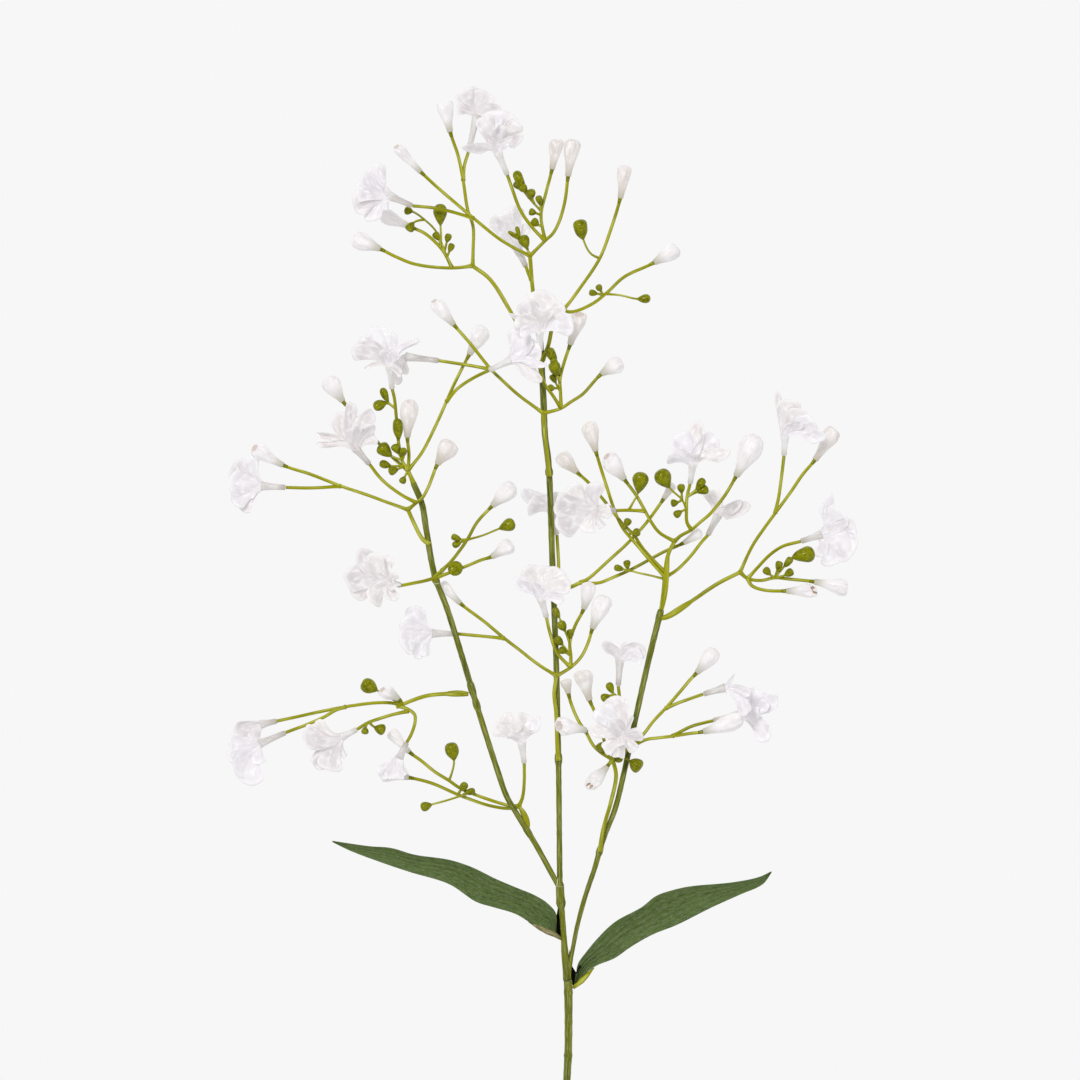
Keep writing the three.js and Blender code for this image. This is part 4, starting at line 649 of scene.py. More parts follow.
              [8.7, 0.8, 6, 0.65], [-3.3, 6.4, 7, 0.5]], tint="pink"),
        bud(6.4, [2.2, 127.1, 4.4], [2.3, 131.8, 4.6], [1.9, 136.9, 4.8], [4.2, 144.2, 5],
          [7.4, 150.4, 5.4], [9.8, 161, 6], top="round"),
        bud(8, [-3.4, 123.7, 3.6], [2.2, 127.1, 4.4], [6.4, 131.3, 4], [9.2, 136.9, 3.4],
          [10.9, 142.5, 3], [16, 155.6, 2.6], top="round"),
        berry(3.6, [1.9, 136.9, 4.8], [0, 141.6, 5.4], [-2.2, 145.6, 6]),
        berry(2.8, [1.9, 136.9, 4.8], [2.2, 138.6, 5.8], [2, 142.4, 7]),
        berry(3.4, [2.3, 131.8, 4.6], [-0.8, 136, 5.2], [-4, 139, 5.6]),
        berry(3, [2.3, 131.8, 4.6], [0.4, 133, 5.4], [-2.4, 134.6, 6.4]),
        berry(2.6, [0, 141.6, 5.4], [-2.2, 146.8, 5], [-4.4, 151, 5]),
    ],
    "left_top_spray": [
        stalk([-60.53, 200.5, 0], [-61.2, 202.2, 0], [-62.8, 205.7, 0]),
        bud(7.8, [-62.8, 205.7, 0], [-62.4, 212.4, 0.6], [-63, 219, 1.2], [-62, 233.8, 2.6],
          top="round", warm=1),
        bud(8, [-62.8, 205.7, 0], [-61, 208, 0], [-57.2, 213, 0], [-51.8, 223.6, 0], [-47.4, 233.4, 0],
          [-43.8, 241.6, -2.4], [-38.4, 252.2, -3.6], [-32.4, 263.4, -4.4], top="round"),
        bloom("left_top_bloom_right", [0.86, 0.4, 0.3], 10.3, [-47.4, 233.4, 0], [-42.8, 238.6, 3],
              [-36.1, 242.9, 6.4], [-30.4, 245.6, 8], petals=[[5.4, 12, 3, 1.1], [12.2, 5.2, 1, 0.85],
              [15, -2.4, 5, 0.35, 0.6], [13, -8.8, 2, 0.55, 0.6], [7.8, -4.8, 0, 0.7]], tint="pink"),
        bloom("left_top_bloom_up", [-0.1, 0.9, 0.42], 10.5, [-62.8, 205.7, 0], [-65.2, 210, 1],
              [-66.8, 219.2, 2], [-67.5, 228, 2.8], [-68.2, 234.8, 3.4], [-69, 238.2, 3.8],
              petals=[[-15.2, 6.7, 3, 0.5], [-12, 11.1, 0, 0.5], [-6.4, 15.9, -1, 0.55],
              [0.4, 13.9, 0, 0.55], [12, 11.1, 2, 0.17], [-10.4, -0.9, 3, 0.12], [4.8, -3.7, 3, 0.5],
              [2.8, 6.7, 6, 0.7], [-3.6, 5.9, 6, 0.6]], tint="mixed"),
        bud(8, [-62.8, 205.7, 0], [-70, 212, -2.4], [-85.4, 229, -5.4], [-89, 233.6, -5.4],
          [-95.4, 243, -5], top="round"),
        berry(2.8, [-67.6, 230.4, 3], [-70.4, 232.8, 3], [-73.2, 238.8, 3]),
        berry(4, [-67.6, 230.4, 3], [-71, 232.6, 2.4], [-76.6, 231, 2]),
        berry(3.8, [-65.8, 213, 1.4], [-66.4, 217.4, 3], [-67, 226.6, 4.6]),
        berry(5, [-65.2, 210, 1], [-69, 211.4, 2], [-74.4, 216, 2.6]),
        berry(3, [-65.6, 211.6, 1.2], [-66.6, 212.6, 3.4], [-68.4, 216.2, 4.8]),
        berry(2.8, [-65.2, 210, 1], [-64.4, 211.6, 3], [-64.8, 214.6, 5]),
        berry(3, [-64.2, 207.6, 0.6], [-69.4, 207.6, 1.6], [-74.2, 208.8, 2]),
        berry(3.2, [-64.2, 207.6, 0.6], [-66.6, 206.4, 2.4], [-70.4, 205.2, 4]),
        berry(2.6, [-62.8, 205.7, 0], [-64, 203.4, 1.8], [-65.4, 200.6, 2.6]),
    ],
    "left_mid_spray": [
        stalk([-54.2, 176.4, 0.4], [-56.9, 178.3, 1.4], [-60, 183.9, 1.6], [-62.8, 190.1, 1.4]),
        bud(6.8, [-62.8, 190.1, 1.4], [-70.6, 192.9, -0.4], [-79.1, 196, -3], [-89.7, 199.6, -5.6],
          [-102.1, 204.4, -6], [-113, 208, -5.4], [-124.5, 214.8, -4.6], heart=1),
        bloom("left_mid_bloom_left", [-0.98, 0.06, 0.1], 9.8, [-89.7, 199.6, -5.6],
              [-101.5, 198.9, -8.9], [-112, 199.1, -10.75], petals=[[-7.5, 11.1, 2, 0.9],
              [-12.7, 8.3, 1, 0.85], [-13.9, 1.5, 4, 0.9], [-13.1, -4.9, 4, 0.9], [-9.9, -8.9, 2, 0.75],
              [-5.5, -4.5, 0, 0.5]], tint="cool"),
        bloom("left_mid_bloom_up", [-0.6, 0.7, 0.4], 9, [-59.4, 192.9, 2.8], [-65.6, 196.2, 4.4],
              [-73.4, 202.4, 6], [-78, 208.2, 6.8], petals=[[-8.5, 14.2, 2, 0.6], [-2.5, 19, 4, 0.32],
              [5.5, 16.2, 1, 0.55], [-16.1, 6.2, 3, 0.2], [-15.7, 2.2, 4, 0.2], [6.7, 10.2, 1, 0.5],
              [7.9, 5.4, -2, 0.7], [-0.5, 9.4, 6, 0.7]], tint="shadedTint"),
        bud(8.6, [-62.8, 190.1, 1.4], [-59.4, 192.9, 2.8], [-57.2, 194.6, 3.2], [-54.4, 199.6, 3.2],
          [-51, 208.2, 3.2], [-45, 217, 3.4], top="round", warm=1),
    ],
    "left_side_spray": [
        stalk([-52, 161.6, 0.6], [-52.2, 162.6, 1.8], [-49.4, 165.6, 2.6]),
        bloom("left_side_bloom", [-0.74, 0.26, 0.6], 6.5, [-51, 163.2, 2], [-55.6, 161.8, 2.4],
              [-60.4, 160.8, 3], [-65.6, 159.8, 4], petals=[[-13, 12.2, 3, 0.75, 0.3],
              [-8.2, 11, 4, 0.8], [-1.4, 10.6, 1, 0.8], [-17.8, 1.8, 5, 0.75], [-15.4, -3.8, 5, 0.75],
              [-7.4, -8.6, 6, 0.85], [1.8, -7.8, 3, 0.75], [3.4, 3.4, 1, 0.9], [3.4, -2.6, 5, 1]],
              tint="shadedTint"),
        bud(8, [-49.4, 165.6, 2.6], [-45.2, 169.8, 3], [-39.1, 178.1, 3], [-35.2, 185, 3],
          [-29.1, 191.6, 3.2], [-20.5, 200, 4], top="round"),
        berry(2.6, [-39.1, 178.1, 3], [-41.4, 178.2, 3.4], [-45.4, 179.6, 4]),
        berry(2.6, [-39.1, 178.1, 3], [-41.4, 177.2, 3], [-45, 175.6, 3]),
        berry(4.6, [-39.1, 178.1, 3], [-33, 179.8, 2.6], [-26.6, 182.4, 2.4], [-20, 185, 2.4]),
        bud(7, [-51, 163.2, 2], [-47.3, 164.5, 2.4], [-40.8, 167, 2.6], [-33, 170.2, 2.6],
          [-29.4, 171.3, 2.8], [-21.4, 176.6, 3.4]),
        berry(5.6, [-46, 165, 2.4], [-44.6, 165.8, 3.4], [-43.4, 167, 7.6]),
    ],
    "left_low_spray": [
        stalk([-38.6, 116.4, 0.2], [-43, 116.6, 0.2], [-54.7, 115.8, 0], [-61.2, 113.8, 0],
          [-66.4, 111.6, -0.4], plug=9),
        bloom("left_low_bloom_upper", [-0.96, -0.2, -0.2], 6.5, [-65.2, 112, -0.4],
              [-69.4, 112.8, -0.8], [-76.2, 112.8, -1], [-87.6, 111.3, -1.4], [-98.7, 109.1, -3.4],
              [-107.2, 107.2, -5.4], [-115.4, 105.4, -6.8], petals=[[-11.1, -1.4, 2, 0.5],
              [-11.5, -4.2, 3, 0.85], [-4.7, -6.6, 2, 0.9]], tint="cool"),
        bloom("left_low_bloom_lower", [-0.9, -0.38, 0.2], 11.5, [-87.6, 111.3, -1.4],
              [-91.8, 109.9, -1], [-96, 107.4, 0.6], [-101.6, 104.9, 3], [-111.4, 101.2, 5.6],
              petals=[[-13, -1.4, 4, 1], [-12.2, -7.4, 5, 1], [-9.4, -12.6, 6, 0.85],
              [-5.8, -15.8, 7, 0.85], [-1.4, -8.2, 4, 0.95]], tint="white"),
        bloom("left_low_bloom_middle", [-0.86, -0.42, 0.3], 7.5, [-62.6, 109.6, 0.6], [-69, 108.2, 2.4],
              [-74, 106.7, 3.2], [-79, 104.9, 3.8], [-83, 102.4, 4.2], petals=[[-15.7, -0.2, 4, 0.8],
              [-10.5, 6.6, 2, 0.45], [-10.9, -11.8, 4, 0.5], [-6.1, -13.4, 5, 0.85],
              [1.1, -8.6, 1, 0.35]], tint="mixed"),
        bud(6.2, [-66.4, 111.6, -0.4], [-65.4, 113, 1], [-66.6, 114.6, 2.4], [-73, 118.2, 4],
          top="round", heart=1),
        berry(5.6, [-65.4, 112.6, 0.4], [-70, 114.8, 0.4], [-74.7, 117.6, 0.6], [-81.4, 121, 0.8]),
        berry(2.8, [-79, 104.9, 3.8], [-79.6, 103.4, 4.4], [-80, 100.4, 5]),
        berry(4, [-78.2, 105.2, 3.8], [-76.4, 103.4, 3], [-71.8, 101.8, 2.4]),
        bloom("left_low_bloom_inner", [-0.42, -0.86, 0.2], 7, [-66.4, 111.6, -0.4], [-62.6, 110.2, 0.4],
              [-60.1, 108.2, 0.8], [-59.9, 105.6, 0.8], [-60.4, 103.2, 1.4], [-61.8, 99.6, 2.2],
              [-63.2, 97.2, 2.8], petals=[[-8.4, -7.8, 2, 0.7], [-2.8, -9, 5, 0.9], [2, -7.8, 2, 0.6]],
              tint="white"),
    ],
    "low_left_spray": [
        stalk([-15.4, 61.2, -0.2], [-15.2, 64.6, -0.8], [-16.4, 68.2, -1.2], [-18.4, 71.4, -1.8],
          plug=10),
        bloom("low_left_bloom", [-0.12, 0.96, 0.24], 8.8, [-18.4, 71.4, -1.8], [-17, 75, -1.4],
              [-16.3, 81.2, -1], [-16.3, 88.6, -0.6], petals=[[-11.1, 7.7, 4, 0.65],
              [-7.5, 11.7, 0, 0.8], [-0.3, 12.5, -1, 0.85], [7.3, 10.9, 1, 0.75, 0.5],
              [-5.5, 4.1, 6, 0.45], [2.5, 6.5, 6, 0.6]], tint="pink"),
        bud(5.2, [-18.4, 71.4, -1.8], [-22.8, 71.8, -2.8], [-32.3, 74.7, -2.4], [-41.9, 78.6, -2],
          [-46.4, 81.7, -1.8], [-52, 85.1, -2.6], [-57.6, 89.6, -3.6], [-62.3, 93, -4.4],
          [-70, 101.4, -5.4]),
        bud(6.4, [-18.4, 71.4, -1.8], [-22.2, 70.5, -3.2], [-29.5, 71.4, -4], [-41.3, 75.3, -4.6],
          [-53.6, 80.6, -4.8], [-62.6, 82.8, -5.2], [-74, 84.4, -5.6]),
        berry(5.2, [-46.4, 81.7, -1.8], [-45.2, 85.1, -1.4], [-44.4, 89.4, -1], [-46, 97, -0.6]),
        berry(3.4, [-38, 76.8, -2.2], [-46.9, 73.9, -1.6], [-53.1, 72.2, -1.4], [-57.8, 70.8, -1.2]),
        berry(3, [-42.4, 76.8, -2], [-42, 77.6, -1], [-39.4, 80.8, 0.4]),
        berry(2.8, [-40.6, 76, -2.2], [-40, 76.6, -1.2], [-36, 77.8, 0.2]),
    ],
    "right_top_spray": [
        stalk([38.35, 149.55, 0], [39, 152.4, 0], [39.9, 157.8, 0], [40.5, 164.9, 0], [41.3, 172.3, 0],
          [43.8, 177.4, 0], plug=22),
        bud(8.2, [43.8, 177.4, 0], [37.7, 181, 0.8], [34.2, 185.6, 1.6], [32, 189.6, 2.2],
          [28.8, 195.3, 2.6], [26.3, 198.8, 2.6], [23.8, 202.1, 2.6], [16.6, 211.4, 2.8],
          top="round", heart=1),
        bloom("right_top_bloom_left", [-0.9, 0.04, 0.4], 8.5, [32, 189.6, 2.2], [25.6, 189.9, 3],
              [20.4, 189.8, 3.8], petals=[[-1.4, 11.1, 3, 0.85], [-12.2, 8.7, 3, 0.8],
              [-17.8, 2.3, 5, 0.65], [-16.6, -7.3, 5, 0.75], [-5.4, -8.9, 4, 0.8], [1.4, -7.3, 5, 0.6],
              [5.4, -0.9, 6, 1]], tint="shadedTint"),
        berry(5.8, [25.6, 190.2, 3], [27.4, 193.4, 3.4], [29, 196.4, 4], [30.6, 205.2, 5]),
        bloom("right_top_bloom_up", [0.12, 0.92, 0.34], 8.5, [50.6, 182.1, 0], [48.8, 185, 0.4],
              [48.6, 190.4, 0.8], [48.8, 195.3, 1], [50, 200.4, 1.4], petals=[[-10.2, 4.5, 4, 0.8],
              [-5.8, 13.3, 1, 0.85], [1.8, 18.1, 0, 0.65, 0.3], [9, 12.1, 1, 0.75],
              [15.4, 5.3, 3, 0.5, 0.4], [0.2, 4.9, 6, 1]], tint="mixed"),
        berry(6.2, [48.6, 190.4, 0.8], [46.7, 194.2, 2], [42, 198.6, 3], [37.4, 206, 4]),
        berry(2.8, [46.7, 194.2, 2], [46.6, 196.6, 3], [46.2, 200.4, 4]),
        berry(2.8, [46.7, 194.2, 2], [45.4, 193.2, 2.8], [42.2, 192.6, 3.4]),
        berry(2.8, [48.6, 190.4, 0.8], [46.8, 189.6, 2], [43.6, 187.6, 3]),
        berry(3, [48.8, 195.3, 1], [52.2, 198, 1.8], [55.6, 202.6, 2.4]),
        berry(3.4, [48.8, 195.3, 1], [52.4, 197, 0.6], [57.4, 198.6, 0.4]),
        bud(10.2, [43.8, 177.4, 0], [46.1, 179.6, 0], [50.6, 182.1, 0], [53.8, 184.9, 1],
          [58, 188.5, 2], [63.5, 195.3, 3], [68.3, 203.4, 3.6], [76.6, 219.4, 5], top="round"),
        bud(7, [40, 163.2, 0], [34.2, 169.6, -1.6], [28.8, 176, -2.4], [23.4, 182.4, -3],
          [20.6, 188, -4.4], [17, 198.6, -5.4], [12.4, 213.5, -5.6], [9.4, 225.2, -5.6],
          top="round", warm=1),
        bud(7, [40.2, 165, 0], [31.4, 174.4, -3.4], [27.6, 180, -3.4], [23, 184.6, -3.6],
          [17, 192.2, -6], [13.4, 196.6, -6.6], [9.1, 201.4, -6.8], [4.9, 205.1, -6.8],
          [-2.2, 212.4, -6.8], top="round", warm=1),
        berry(2.8, [23.4, 182.4, -3], [24.2, 183.6, -1.6], [25.6, 186.4, 0.2]),
        berry(3.2, [25.4, 180.2, -2.8], [27, 180.6, -1.4], [29.8, 181.4, 0.2]),
        bloom("right_top_bloom_back", [0.44, 0.84, -0.3], 9, [40, 163, 0], [44.8, 166, -1.6],
              [50.2, 171.4, -3.4], [54.8, 177.2, -5], [57.2, 179.8, -6],
              petals=[[13.8, 5.3, 2, 1.1, 1.3], [10.2, 6.9, 3, 0.75, 0.9], [-2.6, 11.3, 0, 0.7]],
              tint="shadedTint"),
        berry(2.6, [39.8, 162.4, 0], [34.2, 163.8, -0.8], [27.7, 165.3, -1.4], [25.4, 166.4, -1.4],
          [24.6, 170, -1.2]),
        berry(2.6, [26.6, 165.7, -1.4], [23.6, 166.2, -1], [19.6, 167.2, -0.6]),
    ],
    "centre_right_spray": [
        stalk([-4.2, 157, -0.6], [-1.6, 158, -2.4], [2.9, 159.4, -4], [6, 160.9, -5.2]),
        bud(4.2, [6, 160.9, -5.2], [9.2, 162.4, -5.8], [18.1, 170.3, -6.4], [24.8, 176.4, -6.6],
          [32.4, 184.6, -5.6], [39.6, 194.6, -4], [43.4, 200.6, -4]),
        bud(5, [6, 160.9, -5.2], [13.4, 160.8, -5.8], [19.8, 163.2, -6.2], [27, 166.4, -6.4],
          [39.5, 173.2, -5.8], [47.7, 176.9, -5], [54.4, 181.4, -4]),
        bloom("centre_right_bloom", [-0.2, 0.96, -0.2], 10.5, [-0.4, 158.4, -2.8], [-2.2, 163, -2.6],
              [-2.6, 170, -2.8], [-3.2, 180, -3.6], petals=[[-12.8, 8.3, 4, 0.75, 0.8],
              [-10, 2.7, 3, 1], [-4.4, 6.3, 2, 0.8], [3.2, 7.5, 0, 0.6]], tint="white"),
    ],
    "right_side_spray": [
        stalk([38.2, 146.6, 0.2], [41, 147.4, 0.2], [48.4, 152, 0], [60.8, 160.4, 0], [70, 165.1, 0],
          plug=14),
        bloom("right_side_bloom_up", [0.04, 0.97, 0.2], 8, [84, 188.7, 2], [85.4, 195.4, 2.8],
              [86.8, 206.1, 4], [87.4, 211.6, 4.8], petals=[[-2.9, 19, 1, 0.4, 1], [1.9, 15.4, 3, 0.85],
              [7.1, 11, 4, 0.85], [12.3, 6.2, 5, 0.7], [16.7, 0.2, 5, 0.5, 0.4], [5.9, 6.6, 6, 0.6]],
              tint="pink"),
        bud(7.4, [70, 165.1, 0], [75, 175.8, 1], [79.5, 182.5, 1.6], [84, 188.7, 2], [90.2, 197.1, 1],
          [95.2, 204.4, 0], [100, 210, -0.8], [108, 222.4, -2], warm=1),
        bloom("right_side_bloom_low", [0.94, 0.32, -0.1], 8.6, [73.1, 162.6, 0], [77.3, 167.2, -2.2],
              [82.3, 172.2, -5], [87.4, 175.5, -7.4], [94.6, 177.4, -9.2],
              petals=[[4.5, 17.2, 1, 0.55, 0.8], [9.7, 10, 3, 0.95], [14.9, 2, 4, 0.95],
              [14.5, -6.8, 4, 0.95], [6.9, -11.6, 3, 0.95], [0.5, -9.2, 1, 0.7]], tint="white"),
        bud(7, [70, 165.1, 0], [73.1, 162.6, 0], [78.4, 161.8, 0], [84, 162.9, 0], [90.2, 162.3, -0.6],
          [99.7, 161.3, -1.6], [113.2, 158.6, -3]),
        bud(6.4, [73.1, 162.6, 0], [74.6, 159.8, 0.8], [79.5, 158, 1.8], [88.4, 157.6, 2.6],
          [99.4, 158, 3.4], heart=2),
        berry(2.8, [84, 162.9, 0], [82.2, 164, 0.8], [79.6, 166.8, 1.6]),
        berry(2.8, [84, 162.9, 0], [84.8, 165.8, 0.8], [86, 169.6, 1.4]),
        berry(3.2, [84, 162.9, 0], [87.6, 163.8, 1], [91.2, 165.8, 1.8]),
        berry(2.8, [84.8, 165.8, 0.8], [87.4, 167.2, 1.6], [90.6, 171, 2.2]),
        berry(5.8, [84, 162.9, 0], [87, 166.6, 0], [90.4, 170.6, 0], [100, 172.8, 0]),
    ],
    "right_low_spray": [
        stalk([14, 53.6, 0.4], [14.4, 57.4, 1.8], [15.4, 63, 2.6], [18.5, 74, 3], [20.4, 84, 3],
          [19, 90.4, 3]),
        bud(6.6, [19, 90.4, 3], [16.8, 87.5, 3.6], [9.8, 80, 6], top="round", heart=2),
        bud(5, [19, 90.4, 3], [14.7, 92.8, 3], [11.2, 96.1, 3.2], [8.3, 101.4, 3.4], [5.8, 105, 2.8],
          [4, 108.6, 2.6], [2.2, 113.4, 2.4], [1.4, 116.6, 2.2], [0.2, 122.2, 2], warm=1),
        bud(7.6, [8.3, 101.4, 3.4], [8.2, 102, 5], [-2.4, 104, 9], heart=1),
        bud(8, [17, 91.4, 3], [15.6, 98, 2], [12.2, 108.6, 1.6], [9.9, 113.8, 1.4], [6.8, 125.6, 1.2],
          warm=1),
        bloom("right_low_bloom_up", [0.06, 0.98, 0.16], 10.4, [19, 90.4, 3], [20.4, 97, 1],
              [21.4, 107, 0], [21.8, 114.6, 0], [21.3, 119.6, 0], petals=[[-6.7, 8.5, 2, 0.8, 0.7],
              [-2.3, 7.3, -1, 0.9], [3.7, 7.3, -1, 0.9], [9.7, 6.1, 3, 0.9], [9.3, 2.5, 4, 0.7]],
              tint="cool"),
        berry(2.8, [21.6, 115, 0], [19.4, 116.6, 0.4], [17.2, 121, 0.8]),
        berry(3, [20.2, 116, 0.2], [18, 115.8, 1], [14.4, 114.4, 1.6]),
        bloom("right_low_bloom_front", [0.1, 0.2, 0.97], 6.5, [19, 90.4, 3], [20.6, 95, 4.2],
              [21.8, 98.6, 6.6], petals=[[-2.8, 16.6, 3, 0.75], [-8.8, 12.2, 4, 0.7],
              [-12.8, 3.4, 4, 0.65], [-7.2, -5.8, 5, 0.65], [-1.6, -8.6, 4, 0.65], [6, -5.8, 3, 0.65],
              [8.8, 1, 4, 0.75], [3.2, 9, 5, 0.5], [-4, 7, 8, 0.7], [0.4, -4.2, 7, 0.6]], tint="mixed"),
        bud(7.2, [19, 90.4, 3], [25.6, 95.4, 3.6], [31.3, 100.4, 3.4], [35.1, 105.4, 3.2],
          [40.1, 110.7, 3], [45.8, 117.2, 3], [50, 122.2, 3], [52.6, 124.9, 3], [60.4, 134, 3.2],
          top="round"),
        bloom("right_low_bloom_right", [0.93, 0.28, 0.2], 9, [40.1, 110.7, 3], [45, 112.8, 2.6],
              [50, 114.6, 2.6], [55.2, 116.4, 2.8], petals=[[4.3, 6, 1, 0.25, 1.2], [11.1, -2, 3, 0.4],
              [9.9, -10.4, 4, 0.45]], tint="white"),
        bud(7.6, [19, 90.4, 3], [25, 94.2, 3.6], [32.2, 98.2, 3.2], [36.8, 98.9, 2.8],
          [42.9, 99.6, 2.4], [50, 100.7, 2.2], [55.2, 101.4, 2.2], [71, 106.8, 2.6], top="round"),
        bloom("right_low_bloom_back", [0.96, 0.22, -0.14], 11.5, [42.9, 99.6, 2.4], [50, 103.2, -0.6],
              [54.7, 104.6, -2.2], [59.2, 105.6, -3.6], petals=[[15.3, 7.1, 4, 0.6], [6.9, 9.9, 3, 0.6],
              [12.1, -9.7, 4, 0.6], [8.1, 1.1, 5, 0.6], [11.3, 4.3, 6, 0.5]], tint="white"),
        berry(3.6, [19, 90.4, 3], [20, 90.6, 4.8], [22, 91.2, 8.2]),
        berry(3.6, [17, 91.4, 3], [15.8, 93.4, 4], [13.4, 96.6, 6]),
        berry(5.6, [19, 90.4, 3], [22.6, 91.2, 4.2], [25.6, 90, 5], [30.4, 86.8, 6]),
    ],
}


def twigOutline(length, radius, plug):
    steps = max(3, round(length / twigShape["step"]))
    outline = [(0, 0)]
    for i in range(steps + 1):
        distance = length * i / steps
        swell = radius * (1 + twigShape["rootFlare"] * math.exp(-distance / twigShape["flareLength"]))
        if distance < plug:
            fullness = math.sin(math.pi * distance / plug) ** twigShape["plugEdge"]
            swell = radius + (twigShape["plugRadius"] - radius) * fullness
        outline.append((swell, distance))
    outline.append((0, length))
    return outline


def makeTwig(part, line, length, chance):
    twig = turned(twigOutline(length, twigShape[part["kind"]], part.get("plug", 0)), twigShape["sides"])
    keepFlat(twig, chance.uniform(0, 90))
    bendAlong(twig, line)
    return twig


def makeCap(line, length):
    # The darker cup that a closed bud stands in.
    start, long = length - capShape["length"], capShape["length"]
    outline = [(0, start)] + [(radius, start + share * long) for radius, share in capShape["outline"]]
    cap = turned(outline + [(0, start + long)], twigShape["sides"])
    keepFlat(cap)
    bendAlong(cap, line)
    return cap


def makeBerry(part, line, foot, length, chance):
    half = part["width"] * berryShape["grown"] / 2
    outline = [(0, 0)]
    for share, fullness in berryShape["outline"]:
        least = twigShape["berry"] if share < berryShape["stalkShare"] else 0
        outline.append((least + (half - least) * fullness, share * length))
    body = turned(outline, berryShape["sides"])
    phase = chance.uniform(0, 6)
    for vert in body.verts:
        angle = math.atan2(vert.co.y, vert.co.x)
        swell = 1 + berryShape["bumps"] * math.sin(2 * angle + phase + vert.co.z)
        vert.co.x *= swell
        vert.co.y *= swell
    keepFlat(body, chance.uniform(0, 90))
    bmesh.ops.translate(body, verts=body.verts[:], vec=(0, 0, foot))
    bendAlong(body, line)
    return body


def tintBud(body, part, radius, height):
    # The mouth is what lies above height and inside radius.
    heart, cloth = part["heart"], budCloths.index("budWarm" if part["warm"] else "budCloth")
    for face in body.faces:
        middle = face.calc_center_median()
        inside = middle.z > height and math.hypot(middle.x, middle.y) < radius
        spot = heart < 2 or math.cos(2 * math.atan2(middle.y, middle.x)) > budShape["spotEdge"]
        face.material_index = heart if heart and inside and spot else cloth


def foldBud(body, part, length, chance):
    phase, lean = chance.uniform(0, 6), chance.uniform(*budShape["lean"])
    depth = budShape["foldDepth"] * chance.uniform(*budShape["foldRange"])
    tilt = budShape["slant"] + budShape["openSlant"] * part["heart"]
    for vert in body.verts:
        x, y, z = vert.co
        share, radius, angle = z / length, math.hypot(x, y), math.atan2(y, x)
        grown = min(max((share - budShape["smooth"]) / budShape["opening"], 0), 1)
        fold = math.sin(budShape["folds"] * angle + phase + 2 * budShape["twist"] * share)
        rough = noise.noise(vert.co * budShape["grain"] + Vector((0, 0, 7 * phase)))
        swell = depth * (fold - budShape["inward"] * abs(fold)) + budShape["crumple"] * rough
        slant = tilt * grown ** 3 * radius * math.cos(angle - lean)
        vert.co = (x * (1 + grown * swell), y * (1 + grown * swell), z + slant)


def makeBud(part, line, foot, length, chance):
    # A furled bloom: its folds run up it and turn into a small mouth at its slanted top.
    half, shape = part["width"] * budShape["slim"] / 2, budShape[part["top"]]
    low = budShape["footRadius"] + budShape["footGrowth"] * half
    rows = [(share, low + (half - low) * fullness) for share, fullness in shape["outline"]]
    rows += [(share, half * fullness) for share, fullness in shape["tip"] + shape["mouth"]]
    outline = [(0, 0), (low * budShape["lipRadius"], 0), (low, budShape["lip"])]
    outline += [(radius, share * length) for share, radius in rows]
    body = turned(outline, budShape["sides"])
    tintBud(body, part, half * shape["tip"][-1][1], length * shape["mouth"][-1][0])
    foldBud(body, part, length, chance)
    keepFlat(body, chance.uniform(0, 90))
    bmesh.ops.translate(body, verts=body.verts[:], vec=(0, 0, foot))
    bendAlong(body, line)
    return body


def petalPlace(petal, across, out):
    # A point of one petal: across runs from -1 to 1 between its sides, out from the throat to the rim.
    shape = bloomShape
    side, phase = math.sin(across * math.pi / 2), petal["phase"]
    rim = max(0, math.cos(side * math.pi / 2)) ** petal["roundness"]
    reach = petal["cleft"] + (1 - petal["cleft"]) * rim
    reach *= 1 - shape["notch"] * (1 + math.cos(shape["notches"] * side + phase)) / 2
    reach *= 1 + shape["ragged"] * noise.noise(Vector((6 * side, 5 * phase, 0)))
    far, spread = out * reach * petal["length"], side * petal["spread"]
    place = Vector((8 * side, far, 17 * petal["index"] + 9 * phase))
    ruffle = shape["ruffle"] * petal["ruffle"] * out ** shape["waveGrowth"]
    lift = ruffle * math.sin(petal["waves"] * side + phase)
    lift += shape["pleat"] * out * math.sin(petal["pleats"] * side + 2 * phase)
    lift += shape["keel"] * petal["keel"] * out * (1 - abs(side - petal["middle"]))
    lift += shape["crumple"] * out * (1 - 3 * abs(noise.noise(place * shape["grain"])))
    aside = side * shape["rootWidth"] * (1 - out) + far * math.sin(spread)
    return (petal["heading"] * far * math.cos(spread) + petal["side"] * aside
            + petal["outward"] * lift + petal["bow"] * math.sin(math.pi * out))


